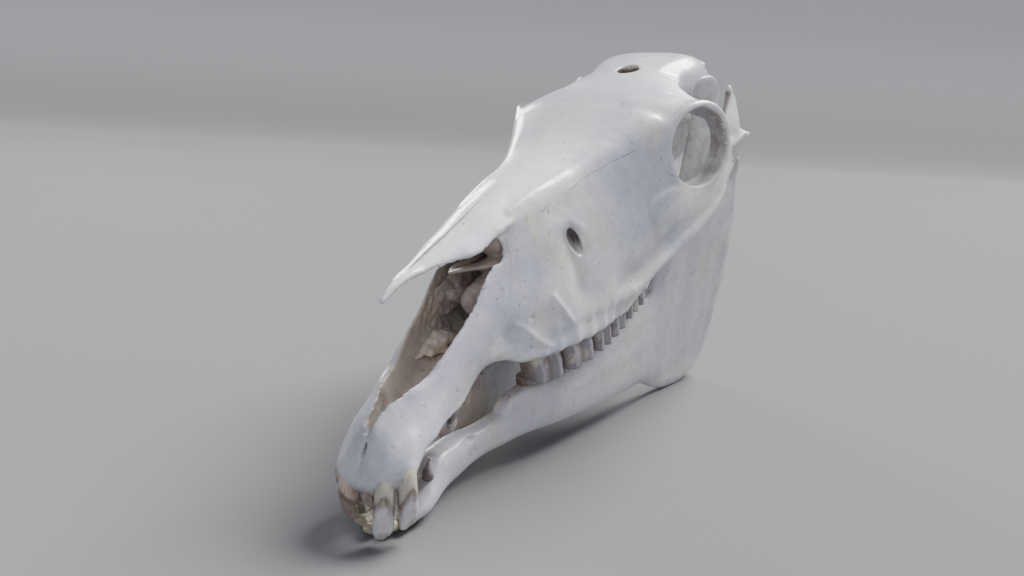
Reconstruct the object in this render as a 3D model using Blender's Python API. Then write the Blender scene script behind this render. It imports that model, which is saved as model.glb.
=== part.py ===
"""Horse skull with its lower jaw closed, life size, as a still display model.

Two solids: the cranium and the mandible, each with the teeth that grow from it.
Sizes are in millimetres in the skull's own axes: X to the animal's left, Y from
the incisors back to the nape, Z up, with the upper tooth row level and the origin
between the first incisors.  The finished bones are then tilted as they lie on a
table, on the two jaw angles and the chin, and given in metres.
"""
import math

import bmesh
import bpy
import numpy as np
from mathutils import Matrix, Vector

# ---------------------------------------------------------------- driving sizes
MM = 0.001
REST_TILT = math.radians(16.7)     # the nape end stands higher on a table
REST_LEVEL = -38.6                 # table height below the origin once tilted
REST_CENTRE = Vector((0.4, 256.8, 0.0))    # middle of the width and length once tilted
BITE = {138: -7, 150: -11, 165: -14.5, 192: -17, 220: -17, 245: -14, 271: -11, 312: -10}
FRONT_BITE = -32.0                 # level where the front teeth meet
BITE_GAP = 0.6                     # clearance between upper and lower teeth
VOXEL = 2.15                       # grid of the fused bone surface
CRANIUM_TRIANGLES = 6100
MANDIBLE_TRIANGLES = 3060
RING_STEP = 5.0                    # spacing of the lofted rings

# Face, station from the incisors -> size.
ROOF = {2: 2, 8: 14, 16: 26, 28: 36, 40: 40, 62: 43, 74: 49, 88: 56, 105: 65,
        127: 82, 146: 96, 153: 112, 164: 123, 190: 128, 220: 131, 250: 135, 285: 144, 325: 156}
ROOF_EDGE = {2: 7, 8: 11, 34: 8, 42: 12, 52: 17, 64: 20, 88: 22, 107: 23, 150: 22,
             160: 24, 200: 30, 250: 40, 290: 55, 325: 74}
ROOF_DROP = {2: 3, 146: 2, 156: 9, 200: 10, 250: 13, 325: 13}
CHEEK = {2: 10, 8: 18, 16: 23, 30: 27, 48: 26, 62: 24, 85: 23, 107: 25, 150: 31,
         200: 43, 250: 55, 290: 67, 325: 82}
CHEEK_LEVEL = {2: 0, 20: 14, 60: 28, 107: 44, 150: 70, 200: 80, 290: 90, 325: 96}
CREST = {2: 13, 8: 21, 16: 27, 28: 30, 48: 28, 62: 24, 85: 22, 100: 23, 117: 28,
         141: 36, 165: 46, 200: 56, 250: 70, 283: 78, 325: 90}
CREST_LEVEL = {2: -3, 20: 4, 60: 12, 117: 28, 180: 33, 225: 29, 255: 23, 290: 30, 325: 42}
GUM = {2: 13, 8: 21, 16: 27, 28: 30, 40: 28, 58: 24, 82: 20, 96: 20, 114: 25,
       127: 30, 139: 37, 176: 50, 210: 59, 258: 65, 295: 65, 316: 58, 325: 54}
GUM_LEVEL = {2: -7, 20: -1, 55: 7, 82: 5, 96: 11, 114: 22, 127: 20, 139: 13, 158: 9, 178: 6,
             195: 4.5, 215: 2.5, 240: 3, 262: 1.5, 290: 4, 325: 6}
ALVEOLUS = {2: 4, 129: 5, 150: 20, 200: 24, 325: 22}
PALATE = {2: -7, 20: -2, 40: 5, 60: 11, 90: 17, 114: 25, 130: 23, 160: 16, 300: 18, 325: 24}

# Braincase and the wall between the orbits.
CORE_TOP = {280: 134, 350: 156, 400: 165.5, 440: 172.5, 465: 173.5, 490: 169, 520: 159, 545: 152,
            558: 147}
CORE_HALF = {280: 50, 320: 44, 350: 38, 380: 38, 400: 43, 430: 51, 460: 55.5, 485: 54,
             510: 49, 535: 40, 558: 27}
CORE_BASE = {280: 30, 350: 50, 400: 62, 480: 62, 530: 58, 558: 68}

# Forehead and the shelf over the orbits.
SHELF_HALF = {295: 60, 325: 76, 345: 87, 358: 94, 372: 98, 382: 97, 390: 88, 402: 74,
              414: 60, 426: 48, 440: 38}
SHELF_TOP = {295: 147, 325: 156, 350: 162, 380: 166, 410: 169, 440: 172}
SHELF_EDGE = {295: 132, 325: 141, 345: 149, 358: 149, 372: 138, 382: 134, 390: 139, 402: 147,
              414: 153, 440: 160}

# Nasal bones in front of the notch.
NASAL_TOP = {64: 107.5, 71: 109, 85: 110.5, 96: 112.5, 116: 116, 128: 118, 154: 124, 200: 130}
NASAL_HALF = {64: 3.2, 72: 5.5, 88: 9, 100: 13, 110: 17, 122: 22, 150: 24, 200: 30}
NASAL_DROP = {64: 1.5, 88: 4, 110: 9, 125: 12, 200: 12}
NASAL_THICK = {64: 3.6, 90: 4.4, 200: 6}

# Nasal cavity.
CAVITY_HALF = {15: 1.5, 22: 3.2, 34: 6, 42: 9.5, 52: 14, 64: 16.5, 88: 18.5, 107: 19.5, 146: 19,
               160: 21, 200: 27, 240: 28, 262: 16}
CAVITY_LOW_HALF = {15: 1.2, 22: 2.5, 34: 5, 42: 9, 62: 14, 88: 18, 107: 19.5, 150: 26, 200: 34,
                   240: 32, 262: 16}
CAVITY_FLOOR = {15: 23, 22: 21, 34: 18, 48: 17, 62: 18, 88: 23, 114: 30, 140: 31, 200: 28, 262: 45}
CAVITY_TOP = {15: 90, 120: 108, 146: 112, 165: 117, 200: 121, 240: 121, 262: 100}

# Orbit: middle of the opening, its half axes and the way it faces.
ORBIT = Vector((93.0, 353.0, 115.5))
ORBIT_BACK = Vector((14.0, 28.5, -2.0))
ORBIT_UP = Vector((-2.5, 5.0, 32.5))
ORBIT_RIM = 5.5
ORBIT_DEPTH = 20.0

# Lower jaw, one side.
JAW_MID = {10: 11, 30: 12, 60: 9, 80: 8.5, 100: 11, 121: 15, 150: 23, 180: 31,
           240: 40, 300: 49, 340: 56, 375: 63, 410: 70, 440: 75, 468: 79}
JAW_HALF = {10: 11, 30: 14, 60: 11.5, 80: 11, 100: 9.5, 130: 9, 150: 10, 180: 12,
            240: 12, 300: 11, 340: 8, 375: 6, 440: 5.5, 468: 5}
JAW_LOW = {10: -39, 25: -43, 42: -46, 58: -48, 76: -50, 102: -52, 120: -56, 147: -61,
           180: -70, 208: -80, 240: -90, 268: -98, 300: -108, 315: -113, 332: -126, 353: -142,
           382: -156, 400: -161, 421: -163, 444: -156, 458: -130, 468: -90}
JAW_TOP = {10: -36, 30: -30, 60: -19, 84: -23, 112: -29, 126: -29, 136: -20, 150: -18,
           170: -21, 192: -24, 220: -24, 245: -20, 271: -17, 312: -16, 328: -10, 336: 6,
           346: 34, 356: 56, 380: 66, 420: 64, 456: 60, 468: 20}
JAW_LEAN = {10: 0, 280: 0.06, 340: 0.11, 468: 0.135}

BROW_SAG = Vector((3.0, 0.0, -7.0))                   # the right brow sits lower than the left
CHEEK_TEETH = (148, 180, 214, 237, 262, 288, 315)     # gaps between the six, along the row
UPPER_TOOTH_WIDTH = 23.0
LOWER_TOOTH_WIDTH = 15.0
ARCADE_OFFSET = 13.0                                  # upper row stands outside the lower

# Front teeth of the left side from the middle outwards: root, gum, middle and tip.
UPPER_FRONT = (((5.5, 14, 10), (7.6, 1.8, -2), (8.0, -2.0, -14), (7.6, -4.5, -27)),
               ((15.5, 19, 9), (20, 5.2, 0.5), (21, -0.8, -12), (19.6, -5.8, -31.5)),
               ((22, 27, 9), (27.8, 15.8, 1.5), (29.8, 11.2, -12), (29, 9, -28.5)))
UPPER_FRONT_SIZES = ((4.6, 4.8), (6.0, 5.8), (6.5, 5.2), (6.7, 3.6))
UPPER_FRONT_FACING = ((0.2, -1, 0), (0.55, -0.85, 0), (0.93, -0.37, 0))
LOWER_FRONT = (((5, 26, -42), (5.4, 14, -41), (5.8, 2, -37), (5.4, -4.0, -32.8)),
               ((11, 28, -42), (12.5, 18, -41), (14, 9, -37.5), (14, 3.5, -33.2)),
               ((15, 34, -41), (17.5, 25, -40), (19.5, 17, -37.5), (19.5, 12, -33.5)))
LOWER_FRONT_SIZES = ((3.6, 3.8), (4.2, 4.0), (4.8, 3.8), (5.2, 3.4))


# ---------------------------------------------------------------- curves
def along(table):
    """Smooth size at any station, through a table of station and size, with no overshoot."""
    stations = np.array(sorted(table), dtype=float)
    sizes = np.array([table[key] for key in sorted(table)], dtype=float)
    steps = np.diff(stations)
    rises = np.diff(sizes) / steps
    slopes = np.zeros(len(sizes))
    slopes[0], slopes[-1] = rises[0], rises[-1]
    for i in range(1, len(sizes) - 1):
        if rises[i - 1] * rises[i] > 0:
            slopes[i] = 2 * rises[i - 1] * rises[i] / (rises[i - 1] + rises[i])

    def size(station):
        station = min(max(station, stations[0]), stations[-1])
        i = min(int(np.searchsorted(stations, station, side="right")) - 1, len(steps) - 1)
        t = (station - stations[i]) / steps[i]
        return float(sizes[i] * (1 + 2 * t) * (1 - t) ** 2 + sizes[i + 1] * t * t * (3 - 2 * t)
                     + steps[i] * t * (1 - t) * (slopes[i] * (1 - t) - slopes[i + 1] * t))
    return size


def smooth_curve(points, per_span=6, closed=False):
    """Catmull-Rom curve through a few guide points."""
    guide = [Vector(point) for point in points]
    count = len(guide)
    curve = []
    for i in range(count if closed else count - 1):
        if closed:
            a, b, c, d = (guide[(i + k) % count] for k in (-1, 0, 1, 2))
        else:
            b, c = guide[i], guide[i + 1]
            a = guide[i - 1] if i else b * 2 - c
            d = guide[i + 2] if i + 2 < count else c * 2 - b
        for step in range(per_span):
            t = step / per_span
            curve.append(0.5 * (2 * b + (c - a) * t + (2 * a - 5 * b + 4 * c - d) * t * t
                                + (3 * b - a - 3 * c + d) * t ** 3))
    if not closed:
        curve.append(guide[-1])
    return curve


def stations_between(first, last, step=RING_STEP):
    return [float(y) for y in np.linspace(first, last, max(2, round((last - first) / step) + 1))]


# ---------------------------------------------------------------- solids
def new_object(name, mesh_data):
    """Object from a bmesh, with its faces turned outwards."""
    bmesh.ops.recalc_face_normals(mesh_data, faces=mesh_data.faces)
    mesh = bpy.data.meshes.new(name)
    mesh_data.to_mesh(mesh)
    mesh_data.free()
    piece = bpy.data.objects.new(name, mesh)
    bpy.context.collection.objects.link(piece)
    return piece


def loft(name, rings):
    """Closed body through rings of equally many points, given in millimetres."""
    body = bmesh.new()
    loops = [[body.verts.new(Vector(point) * MM) for point in ring] for ring in rings]
    for near, far in zip(loops, loops[1:]):
        for i in range(len(near)):
            body.faces.new((near[i - 1], near[i], far[i], far[i - 1]))
    for end in (loops[0], loops[-1]):
        middle = body.verts.new(sum((vert.co for vert in end), Vector()) / len(end))
        for i in range(len(end)):
            body.faces.new((end[i - 1], end[i], middle))
    return new_object(name, body)


def central_loft(name, stations, half_section):
    """Loft along the skull whose rings mirror a half section, top to base, across X."""
    rings = []
    for y in stations:
        half = half_section(y)
        whole = [(x, z) for x, z in half] + [(-x, z) for x, z in half[-2:0:-1]]
        rings.append([(p[0], y, p[1]) for p in
                      smooth_curve([(x, z) for x, z in whole], per_span=5, closed=True)])
    return loft(name, rings)


def tube(name, path, half_sizes, up=(0, 0, 1), per_span=6, sides=20):
    """Oval tube along a smooth path; half sizes are (across, along up) at each path point."""
    up = Vector(up)
    centres = smooth_curve(path, per_span)
    sizes = smooth_curve(half_sizes, per_span)
    rings = []
    for i, centre in enumerate(centres):
        ahead = (centres[min(i + 1, len(centres) - 1)] - centres[max(i - 1, 0)]).normalized()
        across = ahead.cross(up).normalized()
        upward = across.cross(ahead)
        end_gap = min(i, len(centres) - 1 - i)
        dome = (0.55, 0.85)[end_gap] if end_gap < 2 else 1.0
        rings.append([centre + across * (sizes[i][0] * dome * math.cos(turn))
                      + upward * (sizes[i][1] * dome * math.sin(turn))
                      for turn in np.linspace(0, 2 * math.pi, sides, endpoint=False)])
    return loft(name, rings)


def sagged(point):
    """Brow and forehead of the right side eased down, most at the corner over the orbit."""
    across = min(max((-point.x / MM - 25) / 65, 0.0), 1.0)
    level = min(max((point.z / MM - 70) / 60, 0.0), 1.0)
    nearness = math.exp(-((point.y / MM - 365) / 75) ** 2)
    return point + BROW_SAG * (MM * nearness * level * across * across * (3 - 2 * across))


def mirrored(point, side):
    return (point[0] * side, point[1], point[2])


def paired_tube(name, path, half_sizes, **settings):
    return [tube(f"{name}_{label}", [mirrored(point, side) for point in path], half_sizes, **settings)
            for label, side in (("left", 1), ("right", -1))]


# ---------------------------------------------------------------- cranium
def face():
    size = {name: along(table) for name, table in (
        ("roof", ROOF), ("edge", ROOF_EDGE), ("drop", ROOF_DROP), ("cheek", CHEEK),
        ("cheek_z", CHEEK_LEVEL), ("crest", CREST), ("crest_z", CREST_LEVEL), ("gum", GUM),
        ("gum_z", GUM_LEVEL), ("alveolus", ALVEOLUS), ("palate", PALATE))}

    def half_section(y):
        at = {name: curve(y) for name, curve in size.items()}
        gum_inner = max(at["gum"] - at["alveolus"], 4)
        return [(0, at["roof"]), (at["edge"] * 0.6, at["roof"] - 0.3 * at["drop"]),
                (at["edge"], at["roof"] - at["drop"]), (at["cheek"], at["cheek_z"]),
                (at["crest"], at["crest_z"]),
                (at["gum"] + 0.3 * (at["crest"] - at["gum"]), (at["crest_z"] + at["gum_z"]) / 2),
                (at["gum"], at["gum_z"]), (gum_inner, at["gum_z"] + 1), (0, at["palate"])]
    return central_loft("face", stations_between(2, 325), half_section)


def braincase():
    top, half, base = along(CORE_TOP), along(CORE_HALF), along(CORE_BASE)

    def half_section(y):
        high, wide, low = top(y), half(y), base(y)
        return [(0, high), (wide * 0.57, high - 2.5), (wide * 0.82, high - 11),
                (wide * 0.96, high - 23), (wide, high - 42), (wide * 0.8, low + (high - low) * 0.18),
                (wide * 0.35, low), (0, low)]
    return central_loft("braincase", stations_between(280, 558), half_section)


def forehead():
    half, top, edge = along(SHELF_HALF), along(SHELF_TOP), along(SHELF_EDGE)

    def half_section(y):
        wide, high, rim = half(y), top(y), edge(y)
        return [(0, high), (wide * 0.5, high - 0.2 * (high - rim)),
                (wide * 0.86, high - 0.72 * (high - rim)), (wide, rim),
                (wide * 0.93, rim - 7), (wide * 0.5, high - 16 - 0.2 * (high - rim)),
                (0, high - 24)]
    return central_loft("forehead", stations_between(295, 440), half_section)


def nasal_bones():
    top, half, drop, thick = along(NASAL_TOP), along(NASAL_HALF), along(NASAL_DROP), along(NASAL_THICK)

    def half_section(y):
        high, wide, fall, depth = top(y), half(y), drop(y), thick(y)
        return [(0, high), (wide * 0.55, high - fall * 0.3), (wide, high - fall),
                (wide * 0.9, high - fall - depth * 0.6), (wide * 0.5, high - fall * 0.3 - depth),
                (0, high - depth)]
    return central_loft("nasal_bones", stations_between(64, 200, 4), half_section)


def nasal_cavity():
    half, low_half, floor, top = (along(t) for t in (CAVITY_HALF, CAVITY_LOW_HALF, CAVITY_FLOOR,
                                                     CAVITY_TOP))

    def half_section(y):
        wide, low_wide, low, high = half(y), low_half(y), floor(y), top(y)
        return [(0, high), (wide * 0.9, high - 4), (wide, high - 12),
                (low_wide, low + 0.35 * (high - low)), (low_wide * 0.8, low + 2), (0, low)]
    return central_loft("nasal_cavity", stations_between(15, 262), half_section)


def orbit_drum(name, side, grow, reach_out, reach_in, flare=0.0):
    """Oval drum on the orbit's axis, from reach_out outside its rim to reach_in inside."""
    axis = ORBIT_BACK.cross(ORBIT_UP).normalized()
    back, up = ORBIT_BACK.normalized(), ORBIT_UP.normalized()
    rings = []
    for depth in (reach_out, 0.0, -0.5 * reach_in, -reach_in):
        widen = grow + flare * max(-depth, 0.0) / reach_in
        rings.append([mirrored(ORBIT + axis * depth
                               + back * ((ORBIT_BACK.length + widen) * math.cos(turn))
                               + up * ((ORBIT_UP.length + widen) * math.sin(turn)), side)
                      for turn in np.linspace(0, 2 * math.pi, 32, endpoint=False)])
    return loft(name, rings)


def cranium_solids():
    pieces = [face(), braincase(), forehead()]
    for label, side in (("left", 1), ("right", -1)):
        pieces.append(orbit_drum(f"orbit_rim_{label}", side, ORBIT_RIM, 1.0, ORBIT_DEPTH))
    # cheek ridge, cheekbone and arch, back to the jaw joint and in to the braincase
    pieces += paired_tube("arch", [(76, 300, 56), (86, 325, 64), (94, 348, 68),
                                   (101, 378, 80), (103, 408, 96), (101.5, 436, 100),
                                   (90, 458, 100), (68, 468, 100), (40, 474, 100)],
                          [(5, 14), (6, 18), (5, 15), (4.5, 16), (4.5, 16), (4.5, 8.5),
                           (9, 6.5), (12, 8), (14, 10)])
    pieces += paired_tube("cheek_body", [(70, 296, 74), (82, 322, 76), (90, 342, 72), (95, 360, 72)],
                          [(5, 13), (5, 14), (5, 12), (4, 9)])
    pieces += paired_tube("cheek_ridge", [(60, 234, 24), (65.5, 246, 21.5), (70, 258, 21),
                                          (74.5, 273, 23.5), (79, 289, 31), (86, 313, 38),
                                          (94, 338, 47), (100.5, 366, 59), (103, 392, 72)],
                          [(2.5, 3), (3, 3), (3.4, 3.2), (3.8, 3.6), (4.2, 4.2), (4.5, 5),
                           (4.5, 6), (4.5, 6), (4, 6)])
    # the left arch ends in a tall broken point, the right one is worn low
    pieces.append(tube("arch_peak_left", [(102, 412, 106), (98.5, 420, 121), (95.8, 426, 134),
                                          (93.8, 428.5, 145), (92.8, 429, 152)],
                       [(4.5, 20), (6, 16), (5, 11), (3.2, 6), (1.6, 2.4)], up=(0, 1, 0)))
    pieces.append(tube("arch_peak_right", [(-103, 412, 106), (-101, 420, 118), (-99, 424, 125)],
                       [(3.5, 20), (3, 14), (2.5, 8)], up=(0, 1, 0)))
    pieces += paired_tube("joint_ridge", [(70, 465, 99), (85, 456, 97.5), (98, 451, 99),
                                          (109.5, 450, 102)],
                          [(5, 6), (6, 6), (5, 5), (1.8, 2.4)])
    # palatine and pterygoid walls of the throat opening
    pieces += paired_tube("throat_wall", [(34, 290, 12), (29, 325, 22), (24, 360, 36),
                                          (20, 395, 52)],
                          [(6, 18), (4, 20), (4, 18), (5, 10)])
    pieces += paired_tube("hook", [(25, 340, 6), (25, 355, 1), (27, 366, 2)],
                          [(2.5, 6), (2.5, 3), (2, 2)])
    # base of the skull, nape crest, condyles and the processes beside them
    pieces.append(tube("skull_base", [(0, 552, 58), (0, 500, 56), (0, 440, 57), (0, 380, 62),
                                      (0, 320, 64)],
                       [(15, 9), (15, 9), (11, 8), (9, 8), (8, 8)]))
    pieces += paired_tube("nape_wing", [(8, 554, 150), (22, 549, 148), (31, 542, 147.5),
                                        (33.5, 539, 147.5)],
                          [(3, 4), (3.5, 5), (3, 3.5), (1.6, 1.8)])
    pieces.append(tube("nape_crest", [(-50, 516, 84), (-37, 534, 114), (-25, 548, 140),
                                      (-13, 557, 148), (0, 560, 149), (13, 557, 148),
                                      (25, 548, 140), (37, 534, 114), (50, 516, 84)],
                       [(5, 6), (4, 5), (4, 4), (4, 4), (4, 4), (4, 4), (4, 4), (4, 5), (5, 6)],
                       up=(0, 1, 0)))
    pieces += paired_tube("condyle", [(14, 544, 56), (24, 549, 66), (22, 549, 82)],
                          [(9, 9), (12, 12), (8, 9)], up=(0, 1, 0))
    pieces += paired_tube("neck_process", [(46, 520, 84), (49, 516, 56), (51, 511, 28)],
                          [(9, 12), (6, 9), (3, 4)], up=(0, 1, 0))
    pieces += paired_tube("ear_opening", [(44, 490, 84), (58, 489, 90), (64, 488, 93)],
                          [(11, 11), (8, 8), (7, 7)])
    # lip of the muzzle, with the thickened sockets of the front teeth
    pieces.append(tube("muzzle_lip", [(-22, 34, 10), (-23.5, 21, 5), (-18.5, 10.5, 2.5),
                                      (-10, 3.4, 1.5), (0, 1.4, 1.5), (10, 2.4, 1.5),
                                      (20, 7.6, 2), (26, 15, 4), (28, 28, 8)],
                       [(4, 6), (5, 7.5), (5.5, 8.5), (5.5, 9), (5.5, 9), (5.5, 9), (5.5, 8.5),
                        (5.5, 7.5), (4, 6)]))
    pieces.append(tube("corner_socket", [(23, 34, 22), (24, 24, 14), (26.2, 17, 6), (26.6, 13.4, 0.5)],
                       [(6, 6), (7, 6.6), (6.8, 6.4), (6.2, 6.1)], up=(0, 1, 0)))
    pieces.append(tube("second_socket", [(16, 26, 22), (18.4, 15, 13), (20, 7.6, 5), (20.3, 5.2, -0.5)],
                       [(6, 6), (7, 6.6), (6.9, 6.4), (6.3, 6.0)], up=(0, 1, 0)))
    pieces += paired_tube("first_socket", [(5.5, 22, 22), (6.6, 11, 13), (7.4, 4.4, 5),
                                           (7.6, 2.2, -3)],
                          [(6, 6), (6.8, 6.4), (6.6, 6.2), (5.8, 5.4)], up=(0, 1, 0))
    return pieces


def cranium_cutters():
    pieces = [nasal_cavity()]
    for label, side in (("left", 1), ("right", -1)):
        pieces.append(orbit_drum(f"orbit_bore_{label}", side, 0.0, 30.0, 34.0, -3.0))
    pieces += paired_tube("temple", [(70, 400, 20), (70, 412, 100), (70, 424, 200)],
                          [(18, 26), (18, 26), (18, 26)], up=(0, 1, 0))
    pieces += paired_tube("nerve_hole", [(62, 196, 74), (50, 207, 78.5), (43, 216, 81), (35, 227, 82)],
                          [(2.8, 10), (3.6, 13), (3.5, 10), (2, 5)], up=(0, 0.62, -0.78))
    pieces.append(tube("forehead_hole", [(4, 410, 200), (4, 410, 175), (4, 410, 160), (4, 411, 145)],
                       [(9.4, 12.5), (9.4, 12.5), (11, 13), (9, 9)], up=(0, 1, 0)))
    pieces.append(tube("spine_hole", [(0, 580, 86), (0, 545, 80), (0, 500, 84)],
                       [(16, 17), (15, 16), (12, 12)]))
    pieces.append(tube("incisor_slit", [(3.2, -4, 13), (3, 6, 16), (2.5, 14, 18), (2, 24, 19)],
                       [(1.7, 5), (1.7, 5), (1.5, 4), (1.2, 3)]))
    pieces.append(tube("throat", [(0, 430, 10), (0, 370, 26), (0, 330, 30), (0, 300, 34)],
                       [(17, 26), (18, 22), (22, 14), (18, 10)]))
    return pieces


def grinder(name, outer, front, back, width, root, worn, side, taper):
    """Grinding tooth: rounded corners, two outer lobes, and a worn end that follows the bite."""
    middle, half = (front + back) / 2, (back - front) / 2 - 0.6
    rings = []
    for t in (0.0, 0.35, 0.7, 1.0):
        ring = []
        for turn in np.linspace(0, 2 * math.pi, 28, endpoint=False):
            c, s = math.cos(turn), math.sin(turn)
            y = half * math.copysign(abs(s) ** 0.45, s)
            x = width / 2 * math.copysign(abs(c) ** 0.45, c)
            if c > 0:
                x -= 1.8 * abs(math.cos(math.pi * y / half)) ** 2 * c
            x = width / 2 - (width / 2 - x) * (1 - taper * max(-y / half, 0.0) ** 1.5)
            slope = 0.13 * (x - width / 2)
            end = worn(middle + y) - slope
            ring.append((side * (outer(middle + y) - width / 2 + x), middle + y,
                         root + (end - root) * t))
        rings.append(ring)
    return loft(name, rings)


def cheek_teeth(name, offset, width, root, clearance):
    gum, bite = along(GUM), along(BITE)
    pieces = []
    for label, side in (("left", 1), ("right", -1)):
        for number, (front, back) in enumerate(zip(CHEEK_TEETH, CHEEK_TEETH[1:])):
            shift = 0.0 if clearance > 0 else 4.0
            pieces.append(grinder(f"{name}_{label}_{number}", lambda y: gum(y) - offset,
                                  front + shift, back + shift, width, root,
                                  lambda y: bite(y) + clearance, side, 0.0 if number else 0.4))
    return pieces


def front_teeth(name, paths, sizes, facings, missing=()):
    pieces = []
    for number, (path, facing) in enumerate(zip(paths, facings)):
        for label, side in (("left", 1), ("right", -1)):
            if (number, label) in missing:
                continue
            pieces.append(tube(f"{name}_{label}_{number}", [mirrored(p, side) for p in path], sizes,
                               up=mirrored(facing, side)))
    return pieces


def bite_block(name, above, clearance):
    """Cutter that follows the bite of the cheek teeth, on one side of it only."""
    bite = along(BITE)
    rings = []
    for y in stations_between(130, 324, 8.0):
        level = bite(min(max(y, 138), 312)) + clearance
        far = level + 22 if above else level - 40
        rings.append([(-90, y, level), (90, y, level), (90, y, far), (-90, y, far)])
    return loft(name, rings)


# ---------------------------------------------------------------- mandible
def jaw_side(label, side):
    mid, half, low, top, lean = (along(t) for t in (JAW_MID, JAW_HALF, JAW_LOW, JAW_TOP, JAW_LEAN))
    rings = []
    for y in stations_between(10, 468):
        centre, wide, base, crown, slope = mid(y), half(y), low(y), top(y), lean(y)
        tall = (crown - base) / 2
        ring = []
        for turn in np.linspace(0, 2 * math.pi, 40, endpoint=False):
            c, s = math.cos(turn), math.sin(turn)
            z = base + tall + tall * math.copysign(abs(s) ** 0.6, s)
            x = centre + wide * math.copysign(abs(c) ** 0.7, c) + slope * (z + 60)
            ring.append((side * x, y, z))
        rings.append(ring)
    return loft(f"jaw_{label}", rings)


def mandible_solids():
    pieces = [jaw_side("left", 1), jaw_side("right", -1)]
    pieces += paired_tube("coronoid", [(68, 368, 20), (70, 396, 62), (70, 424, 98),
                                       (68.5, 441, 124), (67.5, 443, 142), (66.5, 444, 156)],
                          [(4, 18), (4, 20), (4, 20), (3.4, 20), (3, 20), (2.4, 13)],
                          up=(0.28, 0.96, 0))
    pieces += paired_tube("neck", [(87, 456, 30), (90, 454, 60), (90, 454, 80)],
                          [(6, 12), (7, 10), (10, 7)], up=(0, 1, 0))
    pieces += paired_tube("roller", [(74, 456, 80), (88, 454, 82), (98, 453, 83)],
                          [(5, 5), (7, 6), (4, 4.5)])
    return pieces


# ---------------------------------------------------------------- fusing and finishing
def join(name, pieces):
    """One mesh from several bodies that overlap, to be fused by its Remesh modifier."""
    whole = bmesh.new()
    for piece in pieces:
        whole.from_mesh(piece.data)
        bpy.data.objects.remove(piece)
    for vert in whole.verts:
        vert.co = sagged(vert.co)
    mesh = bpy.data.meshes.new(name)
    whole.to_mesh(mesh)
    whole.free()
    body = bpy.data.objects.new(name, mesh)
    bpy.context.collection.objects.link(body)
    return body


def fuse(body, voxel):
    remesh = body.modifiers.new("fuse", "REMESH")
    remesh.mode = "VOXEL"
    remesh.voxel_size = voxel * MM
    remesh.use_smooth_shade = True


def soften(body, rounds, factor=0.5):
    smooth = body.modifiers.new("soften", "SMOOTH")
    smooth.factor = factor
    smooth.iterations = rounds


def guide(piece):
    piece.hide_render = True
    piece.display_type = "WIRE"
    return piece


def combine(body, other, operation):
    boolean = body.modifiers.new(operation.lower(), "BOOLEAN")
    boolean.operation = operation
    boolean.object = guide(other)
    boolean.solver = "EXACT"


def simplify(body, triangles):
    bpy.context.view_layer.update()
    shape = body.evaluated_get(bpy.context.evaluated_depsgraph_get())
    mesh = shape.to_mesh()
    mesh.calc_loop_triangles()
    count = len(mesh.loop_triangles)
    shape.to_mesh_clear()
    decimate = body.modifiers.new("simplify", "DECIMATE")
    decimate.ratio = min(1.0, triangles / count)


def block(name, low, high):
    """Plain box cutter between two corners, in millimetres."""
    body = bmesh.new()
    bmesh.ops.create_cube(body, size=1.0)
    for vert in body.verts:
        vert.co = Vector(((low[i] + high[i]) / 2 + vert.co[i] * (high[i] - low[i])) * MM
                         for i in range(3))
    return new_object(name, body)


def bone_material(name, colour, roughness):
    material = bpy.data.materials.new(name)
    material.use_nodes = True
    shader = material.node_tree.nodes["Principled BSDF"]
    shader.inputs["Base Color"].default_value = (*colour, 1.0)
    shader.inputs["Roughness"].default_value = roughness
    shader.inputs["Metallic"].default_value = 0.0
    return material


def at_rest():
    """From the skull's own axes to the table: tilt, then height and centring."""
    return (Matrix.Translation(-(REST_CENTRE + Vector((0.0, 0.0, REST_LEVEL))) * MM)
            @ Matrix.Rotation(REST_TILT, 4, "X"))


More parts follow.
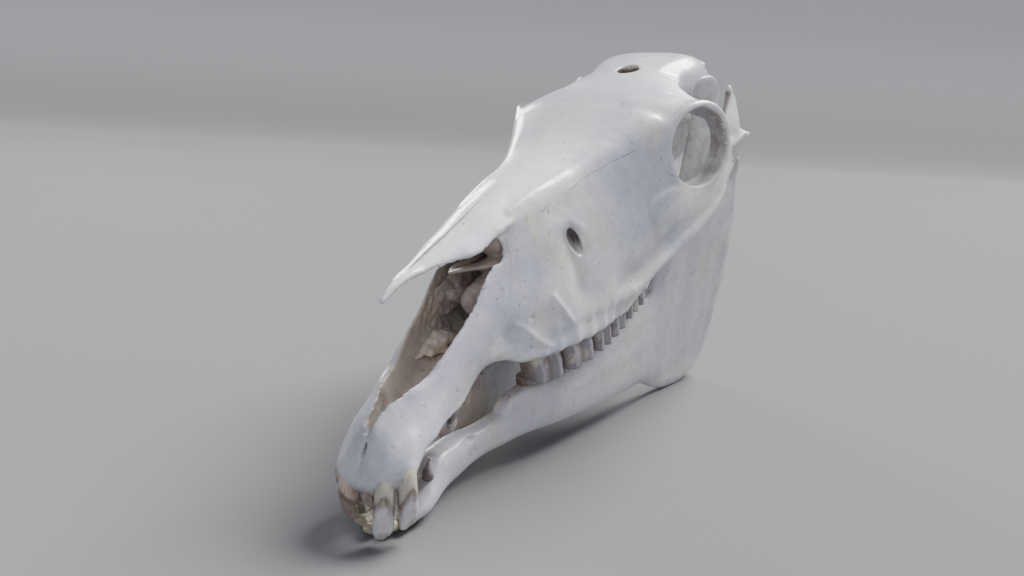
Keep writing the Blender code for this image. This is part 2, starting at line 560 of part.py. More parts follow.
def build():
    for old in list(bpy.data.objects):
        bpy.data.objects.remove(old)

    cranium_cut = join("cranium_cut", cranium_cutters())
    fuse(cranium_cut, VOXEL)
    cranium = join("cranium", cranium_solids())
    fuse(cranium, VOXEL)
    combine(cranium, cranium_cut, "DIFFERENCE")
    upper_front = front_teeth("upper_front", UPPER_FRONT, UPPER_FRONT_SIZES, UPPER_FRONT_FACING,
                              missing=((0, "left"),))
    upper_row = cheek_teeth("upper", 0.0, UPPER_TOOTH_WIDTH, 14.0, BITE_GAP)
    nasal_tip = tube("nasal_tip", [(3.5, 84, 108), (2.6, 66, 106.5), (2.2, 55, 103.5), (2.4, 46, 100)],
                     [(5, 2.8), (3.4, 2.6), (2.6, 2.4), (2.0, 2.0)])
    upper_parts = join("upper_parts", [nasal_bones(), nasal_tip] + upper_front + upper_row)
    fuse(upper_parts, 1.5)
    combine(cranium, upper_parts, "UNION")
    fuse(cranium, VOXEL)
    soften(cranium, 3)
    simplify(cranium, CRANIUM_TRIANGLES)
    combine(cranium, bite_block("under_bite", False, BITE_GAP / 2), "DIFFERENCE")
    under_front = block("under_front", (-60, -40, -60), (60, 60, FRONT_BITE + BITE_GAP / 2))
    combine(cranium, under_front, "DIFFERENCE")

    lower_front = front_teeth("lower_front", LOWER_FRONT, LOWER_FRONT_SIZES, [(0.1, -0.5, -0.85)] * 3)
    lower_row = cheek_teeth("lower", ARCADE_OFFSET, LOWER_TOOTH_WIDTH, -36.0, -BITE_GAP)
    mandible = join("mandible", mandible_solids() + lower_front + lower_row)
    fuse(mandible, VOXEL)
    soften(mandible, 2)
    simplify(mandible, MANDIBLE_TRIANGLES)
    combine(mandible, bite_block("over_bite", True, -BITE_GAP / 2), "DIFFERENCE")
    over_front = block("over_front", (-60, -40, FRONT_BITE - BITE_GAP / 2), (60, 22, 0))
    combine(mandible, over_front, "DIFFERENCE")

    rest = at_rest()
    for body in list(bpy.data.objects):
        body.data.transform(rest)
    table = block("table", (-150, -400, -40), (150, 400, 0))
    combine(mandible, table, "DIFFERENCE")

    cranium.data.materials.append(bone_material("cranium_bone", (0.86, 0.85, 0.84), 0.5))
    mandible.data.materials.append(bone_material("mandible_bone", (0.82, 0.81, 0.82), 0.5))


build()
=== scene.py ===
"""Horse skull with the lower jaw closed: the fine surface, teeth, finishes, camera and light."""

import math

import bmesh
import bpy
import numpy as np
from mathutils import Matrix, Vector, bvhtree, kdtree, noise


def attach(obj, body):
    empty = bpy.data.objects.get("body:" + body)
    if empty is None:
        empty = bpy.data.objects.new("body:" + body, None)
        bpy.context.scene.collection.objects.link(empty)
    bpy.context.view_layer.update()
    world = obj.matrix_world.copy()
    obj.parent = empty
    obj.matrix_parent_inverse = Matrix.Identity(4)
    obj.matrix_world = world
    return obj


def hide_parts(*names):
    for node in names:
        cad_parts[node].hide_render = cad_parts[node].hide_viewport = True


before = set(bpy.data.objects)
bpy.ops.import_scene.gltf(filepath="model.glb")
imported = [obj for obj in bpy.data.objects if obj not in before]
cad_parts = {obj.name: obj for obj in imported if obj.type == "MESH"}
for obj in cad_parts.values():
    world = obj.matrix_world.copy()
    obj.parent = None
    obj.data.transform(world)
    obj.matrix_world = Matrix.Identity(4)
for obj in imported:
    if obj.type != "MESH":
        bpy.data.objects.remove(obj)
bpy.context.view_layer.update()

# ---------------------------------------------------------------- driving sizes, in millimetres
# The skull's own axes: X to its left, Y back from the front teeth, Z up, with 0 near the gum line of
# the cheek teeth. Each table gives a size or a level at stations along Y.
MM = 0.001
# how the skull lies on the table
REST_TILT = math.radians(16.7)
REST_LEVEL = -38.6
REST_CENTRE = Vector((0.4, 256.8, 0.0))

# how fine the meshes are: steps in millimetres, then counts
VOXEL = 1.25
CRANIUM_TRIANGLES = 196000
MANDIBLE_TRIANGLES = 150000
RING_STEP = 4.0
FINE_RING_STEP = 3.0
RING_SPANS = 6
TUBE_SPANS = 7
LINE_SPANS = 10
JAW_SIDES = 56
FRONT_TOOTH_SIDES = 28
CHEEK_TOOTH_SIDES = 56
CHEEK_TOOTH_LEVELS = 9
SMOOTH_STEPS = 80
SCROLL_VOXEL = 1.2
SCROLL_TRIANGLES = 60000
COARSE_TRIANGLES = 14000
SMALL_PIECE_POINTS = 3000
# rays that look for closed-in places: how many, and their lengths in metres
BONE_RAYS = 40
BONE_REACH = 0.07
PIECE_RAYS = 24
PIECE_REACH = 0.03
RAY_LIFT = 0.0008
SPREAD_SOFTNESS = 0.0006
# how closed in the scrolled bones of the nose count as, from 0 to 1
MIDDLING_RECESS = 0.36

# snout and face
ROOF = {2: 2, 8: 14, 16: 26, 28: 36, 40: 40, 62: 43, 74: 49, 88: 56, 105: 65,
        127: 82, 146: 96, 153: 112, 164: 123, 190: 128, 220: 131, 250: 135, 285: 144, 325: 156}
ROOF_EDGE = {2: 7, 8: 11, 34: 8, 42: 12, 52: 17, 64: 20, 88: 22, 107: 23, 150: 22,
             160: 24, 200: 30, 250: 40, 290: 55, 325: 74}
ROOF_DROP = {2: 3, 146: 2, 156: 9, 200: 10, 250: 13, 325: 13}
CHEEK = {2: 10, 8: 18, 16: 23, 30: 27, 48: 26, 62: 24, 85: 23, 107: 25, 150: 31,
         200: 43, 250: 55, 290: 67, 325: 82}
CHEEK_LEVEL = {2: 0, 20: 14, 60: 28, 107: 44, 150: 70, 200: 80, 290: 90, 325: 96}
CREST = {2: 13, 8: 21, 16: 27, 28: 30, 48: 28, 62: 24, 85: 22, 100: 23, 117: 28,
         141: 36, 165: 46, 200: 56, 250: 70, 283: 78, 325: 90}
CREST_LEVEL = {2: -3, 20: 4, 60: 12, 117: 28, 180: 33, 225: 29, 255: 23, 290: 30, 325: 42}
GUM = {2: 13, 8: 21, 16: 27, 28: 30, 40: 28, 58: 24, 82: 20, 96: 20, 114: 25,
       127: 30, 139: 37, 176: 50, 210: 59, 258: 65, 295: 65, 316: 58, 325: 54}
GUM_LEVEL = {2: -7, 20: -1, 55: 7, 82: 5, 96: 11, 114: 22, 127: 20, 139: 13, 158: 9, 178: 6,
             195: 4.5, 215: 2.5, 240: 3, 262: 1.5, 290: 4, 325: 6}
ALVEOLUS = {2: 4, 129: 5, 150: 20, 200: 24, 325: 22}
PALATE = {2: -7, 20: -2, 40: 5, 60: 11, 90: 17, 114: 25, 130: 23, 160: 16, 300: 18, 325: 24}
# braincase
CORE_TOP = {280: 134, 350: 156, 400: 165.5, 440: 172.5, 465: 173.5, 490: 169, 520: 159, 545: 152,
            558: 147}
CORE_HALF = {280: 50, 320: 44, 350: 38, 380: 38, 400: 43, 430: 51, 460: 55.5, 485: 54,
             510: 49, 535: 40, 558: 27}
CORE_BASE = {280: 30, 350: 50, 400: 62, 480: 62, 530: 58, 558: 68}
# forehead and brows
SHELF_HALF = {295: 60, 325: 76, 345: 87, 358: 94, 372: 98, 382: 97, 390: 88, 402: 74,
              414: 60, 426: 48, 440: 38}
SHELF_TOP = {295: 147, 325: 156, 350: 162, 380: 166, 410: 169, 440: 172}
SHELF_EDGE = {295: 132, 325: 141, 345: 149, 358: 149, 372: 138, 382: 134, 390: 139, 402: 147,
              414: 153, 440: 160}
# nasal bones and the space of the nose
NASAL_TOP = {64: 107.5, 71: 109, 85: 110.5, 96: 112.5, 116: 116, 128: 118,
             154: 124, 200: 130}
NASAL_HALF = {64: 3.2, 72: 5.5, 88: 9, 100: 13, 110: 17, 122: 22, 150: 24, 200: 30}
NASAL_DROP = {64: 1.5, 88: 4, 110: 9, 125: 12, 200: 12}
NASAL_THICK = {64: 3.4, 90: 4, 200: 6}
CAVITY_HALF = {15: 1.5, 22: 3.2, 34: 6, 42: 9.5, 52: 14, 64: 16.5, 88: 18.5, 107: 19.5, 146: 19,
               160: 21, 200: 27, 240: 28, 262: 16}
CAVITY_LOW_HALF = {15: 1.2, 22: 2.5, 34: 5, 42: 9, 62: 14, 88: 18, 107: 19.5, 150: 26, 200: 34, 240: 32,
                   262: 16}
CAVITY_FLOOR = {15: 23, 22: 21, 34: 18, 48: 17, 62: 18, 88: 23, 114: 30, 140: 31, 200: 28, 262: 45}
CAVITY_TOP = {15: 90, 120: 108, 146: 112, 165: 117, 200: 121, 240: 121, 262: 100}
# left orbit: its middle, and the ways to its rear and its top
ORBIT = Vector((93.0, 353.0, 115.5))
ORBIT_BACK = Vector((14.0, 28.5, -2.0))
ORBIT_REAR = 2.4
ORBIT_UP = Vector((-2.5, 5.0, 32.5))
ORBIT_RIM = 5.5
ORBIT_DEPTH = 20.0
# left half of the lower jaw
JAW_MID = {10: 11, 30: 12, 60: 9, 80: 8.5, 100: 11, 121: 15, 150: 23, 180: 31,
           240: 40, 300: 49, 340: 56, 375: 63, 410: 70, 440: 75, 468: 79}
JAW_HALF = {10: 11, 30: 14, 60: 11.5, 80: 11, 100: 9.5, 130: 9, 150: 10, 180: 12,
            240: 12, 300: 11, 340: 8, 375: 6, 440: 5.5, 468: 5}
JAW_LOW = {10: -39, 25: -43, 42: -46, 58: -48, 76: -50, 102: -52, 120: -56, 147: -61,
           180: -70, 208: -80, 240: -90, 268: -98, 300: -108, 315: -113, 332: -126, 353: -142,
           382: -156, 400: -161, 421: -163, 444: -156, 458: -130, 468: -90}
JAW_TOP = {10: -36, 30: -30, 60: -19, 84: -23, 112: -29, 126: -29, 136: -20, 150: -18, 170: -21,
           192: -24, 220: -24, 245: -20, 271: -17, 312: -16, 328: -10, 336: 6, 346: 34, 356: 56,
           380: 66, 420: 64, 456: 60, 468: 20}
JAW_LEAN = {10: 0, 280: 0.06, 340: 0.11, 468: 0.135}
# cheek teeth: the gaps between them, then the level where upper and lower meet
CHEEK_TEETH = (148, 180, 214, 237, 262, 288, 315)
BITE = {138: -7, 150: -11, 165: -14.5, 192: -17, 220: -17, 245: -14, 271: -11, 312: -10}
UPPER_TOOTH_WIDTH = 23.0
LOWER_TOOTH_WIDTH = 15.0
UPPER_ROOT_LEVEL = 12.0
LOWER_ROOT_LEVEL = -36.0
LOWER_ROW_SHIFT = 4
ARCADE_OFFSET = 13.0
# how far the right brow has sunk
BROW_SAG = Vector((3.0, 0.0, -7.0))


# ---------------------------------------------------------------- curves
def along(table):
    """Smooth size at any station, through a table of station and size, with no overshoot."""
    stations = np.array(sorted(table), dtype=float)
    sizes = np.array([table[key] for key in sorted(table)], dtype=float)
    steps = np.diff(stations)
    rises = np.diff(sizes) / steps
    slopes = np.zeros(len(sizes))
    slopes[0], slopes[-1] = rises[0], rises[-1]
    for i in range(1, len(sizes) - 1):
        if rises[i - 1] * rises[i] > 0:
            slopes[i] = 2 * rises[i - 1] * rises[i] / (rises[i - 1] + rises[i])
    fine = np.linspace(stations[0], stations[-1], 600)
    i = np.clip(np.searchsorted(stations, fine, side="right") - 1, 0, len(steps) - 1)
    t = (fine - stations[i]) / steps[i]
    values = (sizes[i] * (1 + 2 * t) * (1 - t) ** 2 + sizes[i + 1] * t * t * (3 - 2 * t)
              + steps[i] * t * (1 - t) * (slopes[i] * (1 - t) - slopes[i + 1] * t))
    return lambda station: np.interp(station, fine, values)


def smooth_curve(points, per_span, closed=False):
    """Catmull-Rom curve through a few guide points, as an array."""
    guide = np.array(points, dtype=float)
    count = len(guide)
    t = (np.arange(per_span) / per_span)[:, None]
    curve = []
    for i in range(count if closed else count - 1):
        if closed:
            a, b, c, d = (guide[(i + k) % count] for k in (-1, 0, 1, 2))
        else:
            b, c = guide[i], guide[i + 1]
            a = guide[i - 1] if i else b * 2 - c
            d = guide[i + 2] if i + 2 < count else c * 2 - b
        curve.append(0.5 * (2 * b + (c - a) * t + (2 * a - 5 * b + 4 * c - d) * t * t
                            + (3 * b - a - 3 * c + d) * t ** 3))
    if not closed:
        curve.append(guide[-1:])
    return np.concatenate(curve)


def stations_over(table, step=RING_STEP):
    """Even stations from the first to the last of a table of sizes."""
    first, last = min(table), max(table)
    return np.linspace(first, last, max(2, round((last - first) / step) + 1))


def ease(value, low, high):
    """0 below low, 1 above high, smooth between; works either way round."""
    t = np.clip((value - low) / (high - low), 0.0, 1.0)
    return t * t * (3 - 2 * t)


# ---------------------------------------------------------------- solids
def loft(rings):
    """Closed body through rings of equally many points: (points, faces) in millimetres."""
    rings = np.array(rings, dtype=float)
    layers, count = rings.shape[:2]
    points = rings.reshape(-1, 3)
    i = np.arange(count)
    before = (i - 1) % count
    faces = []
    for layer in range(layers - 1):
        near, far = layer * count, (layer + 1) * count
        faces += np.stack([near + before, near + i, far + i, far + before], 1).tolist()
    points = np.concatenate([points, rings[:1].mean(axis=1), rings[-1:].mean(axis=1)])
    first, last = layers * count, layers * count + 1
    faces += np.stack([before, first + 0 * i, i], 1).tolist()
    end = (layers - 1) * count
    faces += np.stack([end + before, end + i, last + 0 * i], 1).tolist()
    return points, faces


def central_loft(stations, half_section):
    """Loft along the skull whose rings mirror a half section, top to base, across X."""
    rings = []
    for y in stations:
        half = half_section(y)
        whole = [(x, z) for x, z in half] + [(-x, z) for x, z in half[-2:0:-1]]
        flat = smooth_curve(whole, RING_SPANS, closed=True)
        rings.append(np.column_stack([flat[:, 0], np.full(len(flat), y), flat[:, 1]]))
    return loft(rings)


def tube(path, half_sizes, up=(0, 0, 1), sides=24):
    """Oval tube along a smooth path; half sizes are (across, along up) at each path point."""
    centres = smooth_curve(path, TUBE_SPANS)
    sizes = smooth_curve(half_sizes, TUBE_SPANS)
    turns = np.linspace(0, 2 * math.pi, sides, endpoint=False)
    c, s = np.cos(turns), np.sin(turns)
    rings = []
    last = len(centres) - 1
    for i, centre in enumerate(centres):
        ahead = centres[min(i + 1, last)] - centres[max(i - 1, 0)]
        ahead /= np.linalg.norm(ahead)
        across = np.cross(ahead, up)
        across /= np.linalg.norm(across)
        upward = np.cross(across, ahead)
        end_gap = min(i, last - i)
        dome = (0.5, 0.8, 0.95)[end_gap] if end_gap < 3 else 1.0
        rings.append(centre + np.outer(c, across) * (sizes[i][0] * dome)
                     + np.outer(s, upward) * (sizes[i][1] * dome))
    return loft(rings)


def flipped(solid):
    """The same body on the skull's other side."""
    points, faces = solid
    return points * np.array([-1.0, 1.0, 1.0]), [face[::-1] for face in faces]


def pair(solid):
    """A body and its mirror image."""
    return [solid, flipped(solid)]


def both_tubes(path, half_sizes, **settings):
    """A tube on the left and its mirror image on the right."""
    return pair(tube(path, half_sizes, **settings))


# ---------------------------------------------------------------- cranium
def face():
    """Snout, cheeks and tooth-bearing bone, from the front teeth to the orbits."""
    size = {name: along(table) for name, table in (
        ("roof", ROOF), ("edge", ROOF_EDGE), ("drop", ROOF_DROP), ("cheek", CHEEK),
        ("cheek_z", CHEEK_LEVEL), ("crest", CREST), ("crest_z", CREST_LEVEL), ("gum", GUM),
        ("gum_z", GUM_LEVEL), ("alveolus", ALVEOLUS), ("palate", PALATE))}

    def half_section(y):
        at = {name: float(curve(y)) for name, curve in size.items()}
        gum_inner = max(at["gum"] - at["alveolus"], 4)
        return [(0, at["roof"]), (at["edge"] * 0.6, at["roof"] - 0.3 * at["drop"]),
                (at["edge"], at["roof"] - at["drop"]), (at["cheek"], at["cheek_z"]),
                (at["crest"], at["crest_z"]),
                (at["gum"] + 0.3 * (at["crest"] - at["gum"]), (at["crest_z"] + at["gum_z"]) / 2),
                (at["gum"], at["gum_z"]), (gum_inner, at["gum_z"] + 1), (0, at["palate"])]
    return central_loft(stations_over(ROOF), half_section)


def braincase():
    """Dome and base of the skull behind the orbits, up to the nape."""
    top, half, base = along(CORE_TOP), along(CORE_HALF), along(CORE_BASE)

    def half_section(y):
        high, wide, low = float(top(y)), float(half(y)), float(base(y))
        return [(0, high), (wide * 0.64, high - 2.5), (wide * 0.89, high - 11),
                (wide * 0.99, high - 23), (wide, high - 42), (wide * 0.8, low + (high - low) * 0.18),
                (wide * 0.35, low), (0, low)]
    return central_loft(stations_over(CORE_TOP), half_section)


def forehead():
    """Forehead and brows, with the sharp edge over the orbits."""
    half, top, edge = along(SHELF_HALF), along(SHELF_TOP), along(SHELF_EDGE)

    def half_section(y):
        wide, high, rim = float(half(y)), float(top(y)), float(edge(y))
        return [(0, high), (wide * 0.5, high - 0.2 * (high - rim)),
                (wide * 0.86, high - 0.72 * (high - rim)), (wide, rim),
                (wide * 0.93, rim - 7), (wide * 0.5, high - 16 - 0.2 * (high - rim)),
                (0, high - 24)]
    return central_loft(stations_over(SHELF_HALF), half_section)


def nasal_bones():
    """Thin roof of the nose, which ends in free tips."""
    top, half, drop, thick = along(NASAL_TOP), along(NASAL_HALF), along(NASAL_DROP), along(NASAL_THICK)

    def half_section(y):
        high, wide, fall, depth = (float(curve(y)) for curve in (top, half, drop, thick))
        return [(0, high), (wide * 0.55, high - fall * 0.3), (wide, high - fall),
                (wide * 0.9, high - fall - depth * 0.6), (wide * 0.5, high - fall * 0.3 - depth),
                (0, high - depth)]
    return central_loft(stations_over(NASAL_TOP, FINE_RING_STEP), half_section)


def nasal_cavity():
    """Cutter for the open space of the nose."""
    half, low_half, floor, top = (along(t) for t in (CAVITY_HALF, CAVITY_LOW_HALF, CAVITY_FLOOR,
                                                     CAVITY_TOP))

    def half_section(y):
        wide, low_wide, low, high = (float(curve(y)) for curve in (half, low_half, floor, top))
        return [(0, high), (wide * 0.9, high - 4), (wide, high - 12),
                (low_wide, low + 0.35 * (high - low)), (low_wide * 0.8, low + 2), (0, low)]
    return central_loft(stations_over(CAVITY_HALF, FINE_RING_STEP), half_section)


def orbit_drum(grow, reach_out, reach_in, flare=0.0):
    """Oval drum on the orbit's axis, from reach_out outside its rim to reach_in inside."""
    axis = ORBIT_BACK.cross(ORBIT_UP).normalized()
    back, up = ORBIT_BACK.normalized(), ORBIT_UP.normalized()
    rings = []
    for depth in (reach_out, 0.0, -0.5 * reach_in, -reach_in):
        widen = grow + flare * max(-depth, 0.0) / reach_in
        rear = ORBIT_REAR * (1.0 if grow == 0 else -0.1)
        rings.append([ORBIT + axis * depth
                      + back * ((ORBIT_BACK.length + widen) * math.cos(turn) + rear * max(0, math.cos(turn)))
                      + up * ((ORBIT_UP.length + widen) * math.sin(turn))
                      for turn in np.linspace(0, 2 * math.pi, 48, endpoint=False)])
    return loft([[tuple(point) for point in ring] for ring in rings])


def cranium_solids():
    """Every body that is fused into the cranium."""
    solids = [face(), braincase(), forehead(), nasal_bones()]
    # thick rims of the orbits
    solids += pair(orbit_drum(ORBIT_RIM, 1.0, ORBIT_DEPTH))
    # cheek arch, from the face back to the jaw joint and into the braincase
    solids += both_tubes([(76, 300, 56), (86, 325, 64), (94, 348, 68), (101, 378, 80),
                          (103, 408, 96), (101.5, 436, 100), (90, 458, 100), (68, 468, 100),
                          (40, 474, 100)],
                         [(5, 14), (6, 18), (5, 15), (4.5, 16), (4.5, 16), (4.5, 8.5), (9, 6.5),
                          (12, 8), (14, 10)])
    # wall under the orbit
    solids += both_tubes([(70, 296, 74), (82, 322, 76), (90, 342, 72), (95, 360, 72)],
                         [(5, 13), (5, 14), (5, 12), (4, 9)])
    # thin crest along the cheek
    solids += both_tubes([(60, 234, 24), (65.5, 246, 21.5), (70, 258, 21), (74.5, 273, 23.5),
                          (79, 289, 31), (86, 313, 38), (94, 338, 47), (100.5, 366, 59), (103, 392, 72)],
                         [(2.5, 3), (3, 3), (3.4, 3.2), (3.8, 3.6), (4.2, 4.2), (4.5, 5), (4.5, 6),
                          (4.5, 6), (4, 6)])
    # spike of the cheek arch, whole on the left and broken short on the right
    solids.append(tube([(102, 412, 106), (98.5, 420, 121), (95.8, 426, 134), (93.8, 428.5, 145),
                        (92.8, 429, 152)],
                       [(4.5, 20), (6, 16), (5, 11), (3.2, 6), (1.3, 2.2)], up=(0, 1, 0)))
    solids.append(tube([(-103, 412, 106), (-101, 420, 118), (-99, 424, 125)],
                       [(3.5, 20), (3, 14), (2.5, 8)], up=(0, 1, 0)))
    # outer tip of the jaw joint
    solids += both_tubes([(70, 465, 99), (85, 456, 97.5), (98, 451, 99), (109.5, 450, 102)],
                         [(5, 6), (6, 6), (5, 5), (1.6, 2.4)])
    # plates on both sides of the throat, and the small hooks at their lower ends
    solids += both_tubes([(34, 290, 12), (29, 325, 22), (24, 360, 36), (20, 395, 52)],
                         [(6, 18), (4, 20), (4, 18), (5, 10)])
    solids += both_tubes([(25, 340, 6), (25, 355, 1), (27, 366, 2)], [(2.5, 6), (2.5, 3), (2, 2)])
    # floor of the braincase
    solids.append(tube([(0, 552, 58), (0, 500, 56), (0, 440, 57), (0, 380, 62), (0, 320, 64)],
                       [(15, 9), (15, 9), (11, 8), (9, 8), (8, 8)]))
    # raised wings and thinner ridge of the nape crest
    solids += both_tubes([(8, 554, 150), (22, 549, 148), (31, 542, 147.5), (33.5, 539, 147.5)],
                         [(3, 4), (3.5, 5), (3, 3.5), (1.4, 1.6)])
    solids.append(tube([(-50, 516, 84), (-37, 534, 114), (-25, 548, 140), (-13, 557, 148),
                        (0, 560, 149), (13, 557, 148), (25, 548, 140), (37, 534, 114),
                        (50, 516, 84)],
                       [(5, 6), (4, 5), (4, 4), (4, 4), (4, 4), (4, 4), (4, 4), (4, 5), (5, 6)],
                       up=(0, 1, 0)))
    # long tip of the left nasal bone
    solids.append(tube([(3.5, 84, 108), (2.6, 66, 106.5), (2.2, 55, 103.5), (2.4, 46, 100)],
                       [(5, 2.6), (3.4, 2.5), (2.6, 2.3), (2.0, 2.0)]))
    # rim of the front tooth sockets, then the swellings over the roots
    solids.append(tube([(-22, 34, 10), (-23.5, 21, 5), (-18.5, 10.5, 2.5), (-10, 3.4, 1.5), (0, 1.4, 1.5),
                        (10, 2.4, 1.5), (20, 7.6, 2), (26, 15, 4), (28, 28, 8)],
                       [(4, 6), (5, 7.5), (5.5, 8.5), (5.5, 9), (5.5, 9), (5.5, 9), (5.5, 8.5), (5.5, 7.5),
                        (4, 6)]))
    solids.append(tube([(23, 34, 22), (24, 24, 14), (26.2, 17, 6), (26.6, 13.4, 0.5)],
                       [(6, 6), (7, 6.6), (6.8, 6.4), (6.2, 6.1)], up=(0, 1, 0)))
    solids.append(tube([(16, 26, 22), (18.4, 15, 13), (20, 7.6, 5), (20.3, 5.2, -0.5)],
                       [(6, 6), (7, 6.6), (6.9, 6.4), (6.3, 6.0)], up=(0, 1, 0)))
    solids += both_tubes([(5.5, 22, 22), (6.6, 11, 13), (7.4, 4.4, 5), (7.6, 2.2, -3)],
                         [(6, 6), (6.8, 6.4), (6.6, 6.2), (5.8, 5.4)], up=(0, 1, 0))
    # bone around the top of the notch between nasal bone and snout
    solids += both_tubes([(17.5, 124, 106), (19, 136, 106.5), (20, 148, 105), (21, 157, 100),
                          (22.5, 166, 94)],
                         [(2, 2.4), (2.2, 3.4), (2.4, 4), (2.6, 5), (3, 6)])
    # neck joints, the long spikes beside them, and the knobs of the ear openings
    solids += both_tubes([(14, 544, 56), (24, 549, 66), (22, 549, 82)],
                         [(9, 9), (12, 12), (8, 9)], up=(0, 1, 0))
    solids += both_tubes([(46, 520, 84), (49, 516, 56), (51, 511, 28)],
                         [(9, 12), (6, 9), (3, 4)], up=(0, 1, 0))
    solids += both_tubes([(44, 490, 84), (58, 489, 90), (64, 488, 93)],
                         [(11, 11), (8, 8), (7, 7)])
    return solids


def cranium_cutters():
    """Openings, as separate groups whose bodies do not overlap one another."""
    return [
        [nasal_cavity()],
        # round top of the nose notch
        both_tubes([(12, 143, 95.5), (22, 143, 96.5), (32, 143, 97)], [(9, 9), (9, 9), (9, 9)]),
        pair(orbit_drum(0.0, 30.0, 34.0, -3.0)),
        # space behind the orbit, open above and below, where the jaw's blade stands
        both_tubes([(70, 400, 20), (70, 412, 100), (70, 424, 200)],
                   [(18, 26), (18, 26), (18, 26)], up=(0, 1, 0)),
        # nerve opening of the cheek
        both_tubes([(62, 196, 74), (50, 207, 78.5), (43, 216, 81), (35, 227, 82)],
                   [(2.4, 10), (3.3, 13), (3.2, 10), (2, 5)], up=(0, 0.62, -0.78)),
        # forehead hole, spinal opening, slit of the snout, throat
        [tube([(4, 410, 200), (4, 410, 175), (4, 410, 160), (4, 411, 145)],
              [(9.4, 12.5), (9.4, 12.5), (11, 13), (9, 9)], up=(0, 1, 0)),
         tube([(0, 580, 86), (0, 545, 80), (0, 500, 84)], [(16, 17), (15, 16), (12, 12)]),
         tube([(3.2, -4, 13), (3, 6, 16), (2.5, 14, 18), (2, 24, 19)],
              [(1.7, 5), (1.7, 5), (1.5, 4), (1.2, 3)], sides=16),
         tube([(0, 430, 10), (0, 370, 26), (0, 330, 30), (0, 300, 34)],
              [(17, 26), (18, 22), (22, 14), (18, 10)])],
    ]


# ---------------------------------------------------------------- mandible
def jaw_side():
    """Left half of the jaw, from the chin to the rear edge under the joint."""
    mid, half, low, top, lean = (along(t) for t in (JAW_MID, JAW_HALF, JAW_LOW, JAW_TOP, JAW_LEAN))
    turns = np.linspace(0, 2 * math.pi, JAW_SIDES, endpoint=False)
    c, s = np.cos(turns), np.sin(turns)
    rings = []
    for y in stations_over(JAW_MID):
        tall = (float(top(y)) - float(low(y))) / 2
        z = float(low(y)) + tall + tall * np.sign(s) * np.abs(s) ** 0.6
        x = float(mid(y)) + float(half(y)) * np.sign(c) * np.abs(c) ** 0.7 + float(lean(y)) * (z + 60)
        rings.append(np.column_stack([x, np.full(len(x), y), z]))
    return loft(rings)


def mandible_solids():
    """Every body that is fused into the lower jaw."""
    solids = pair(jaw_side())
    # blade that rises behind the orbit, then the neck and the head of the joint
    solids += both_tubes([(68, 368, 20), (70, 396, 62), (70, 424, 98), (68.5, 441, 124),
                          (67.5, 443, 142), (66.5, 444, 156)],
                         [(4, 18), (4, 20), (4, 20), (3.4, 20), (3, 20), (2.2, 13)], up=(0.28, 0.96, 0))
    solids += both_tubes([(87, 456, 30), (90, 454, 60), (90, 454, 80)],
                         [(6, 12), (7, 10), (10, 7)], up=(0, 1, 0))
    solids += both_tubes([(74, 456, 80), (88, 454, 82), (98, 453, 83)], [(5, 5), (7, 6), (4, 4.5)])
    return solids


# ---------------------------------------------------------------- meshes
def sagged(points):
    """Brow and forehead of the right side eased down, most at the corner over the orbit."""
    across = np.clip((-points[:, 0] - 25) / 65, 0, 1)
    level = np.clip((points[:, 2] - 70) / 60, 0, 1)
    nearness = np.exp(-((points[:, 1] - 365) / 75) ** 2)
    return points + np.outer(nearness * level * across * across * (3 - 2 * across), BROW_SAG)


def mesh_object(name, solids):
    """One object from several (points, faces) bodies."""
    points, faces, start = [], [], 0
    for body_points, body_faces in solids:
        points.append(body_points)
        faces += [[start + i for i in face] for face in body_faces]
        start += len(body_points)
    mesh = bpy.data.meshes.new(name)
    mesh.from_pydata((sagged(np.concatenate(points)) * MM).tolist(), [], faces)
    body = bmesh.new()
    body.from_mesh(mesh)
    bmesh.ops.recalc_face_normals(body, faces=body.faces)
    body.to_mesh(mesh)
    body.free()
    piece = bpy.data.objects.new(name, mesh)
    bpy.context.collection.objects.link(piece)
    return piece


def apply_modifier(piece, kind, **settings):
    """Adds one modifier and makes it part of the mesh."""
    modifier = piece.modifiers.new(kind.lower(), kind)
    for key, value in settings.items():
        setattr(modifier, key, value)
    bpy.ops.object.select_all(action="DESELECT")
    piece.select_set(True)
    bpy.context.view_layer.objects.active = piece
    bpy.ops.object.modifier_apply(modifier=modifier.name)


def fuse(piece, voxel):
    """Makes one closed skin of overlapping bodies, in steps of voxel millimetres."""
    apply_modifier(piece, "REMESH", mode="VOXEL", voxel_size=voxel * MM, use_smooth_shade=True)


def carve(piece, cutter):
    """Cuts an opening and removes the cutter."""
    apply_modifier(piece, "BOOLEAN", operation="DIFFERENCE", object=cutter, solver="MANIFOLD")
    bpy.data.objects.remove(cutter)


def thin_out(piece, triangles):
    """Brings a mesh down to a number of triangles."""
    count = sum(len(face.vertices) - 2 for face in piece.data.polygons)
    if count > triangles:
        apply_modifier(piece, "DECIMATE", ratio=triangles / count)


def points_of(mesh):
    """Places of the points, in millimetres."""
    values = np.empty(len(mesh.vertices) * 3)
    mesh.vertices.foreach_get("co", values)
    return values.reshape(-1, 3) / MM


def normals_of(mesh):
    """Outward directions at the points."""
    values = np.empty(len(mesh.vertices) * 3, dtype=np.float32)
    mesh.vertex_normals.foreach_get("vector", values)
    return values.reshape(-1, 3)


def set_points(mesh, points):
    """Moves the points to places given in millimetres."""
    mesh.vertices.foreach_set("co", (points * MM).ravel())
    mesh.update()


def noise_at(points, size, seed=0.0):
    """Smooth noise from -1 to 1 whose lumps are about size millimetres."""
    shift = Vector((seed, seed * 1.7, -seed))
    return np.array([noise.noise(Vector(point) / size + shift) for point in points])


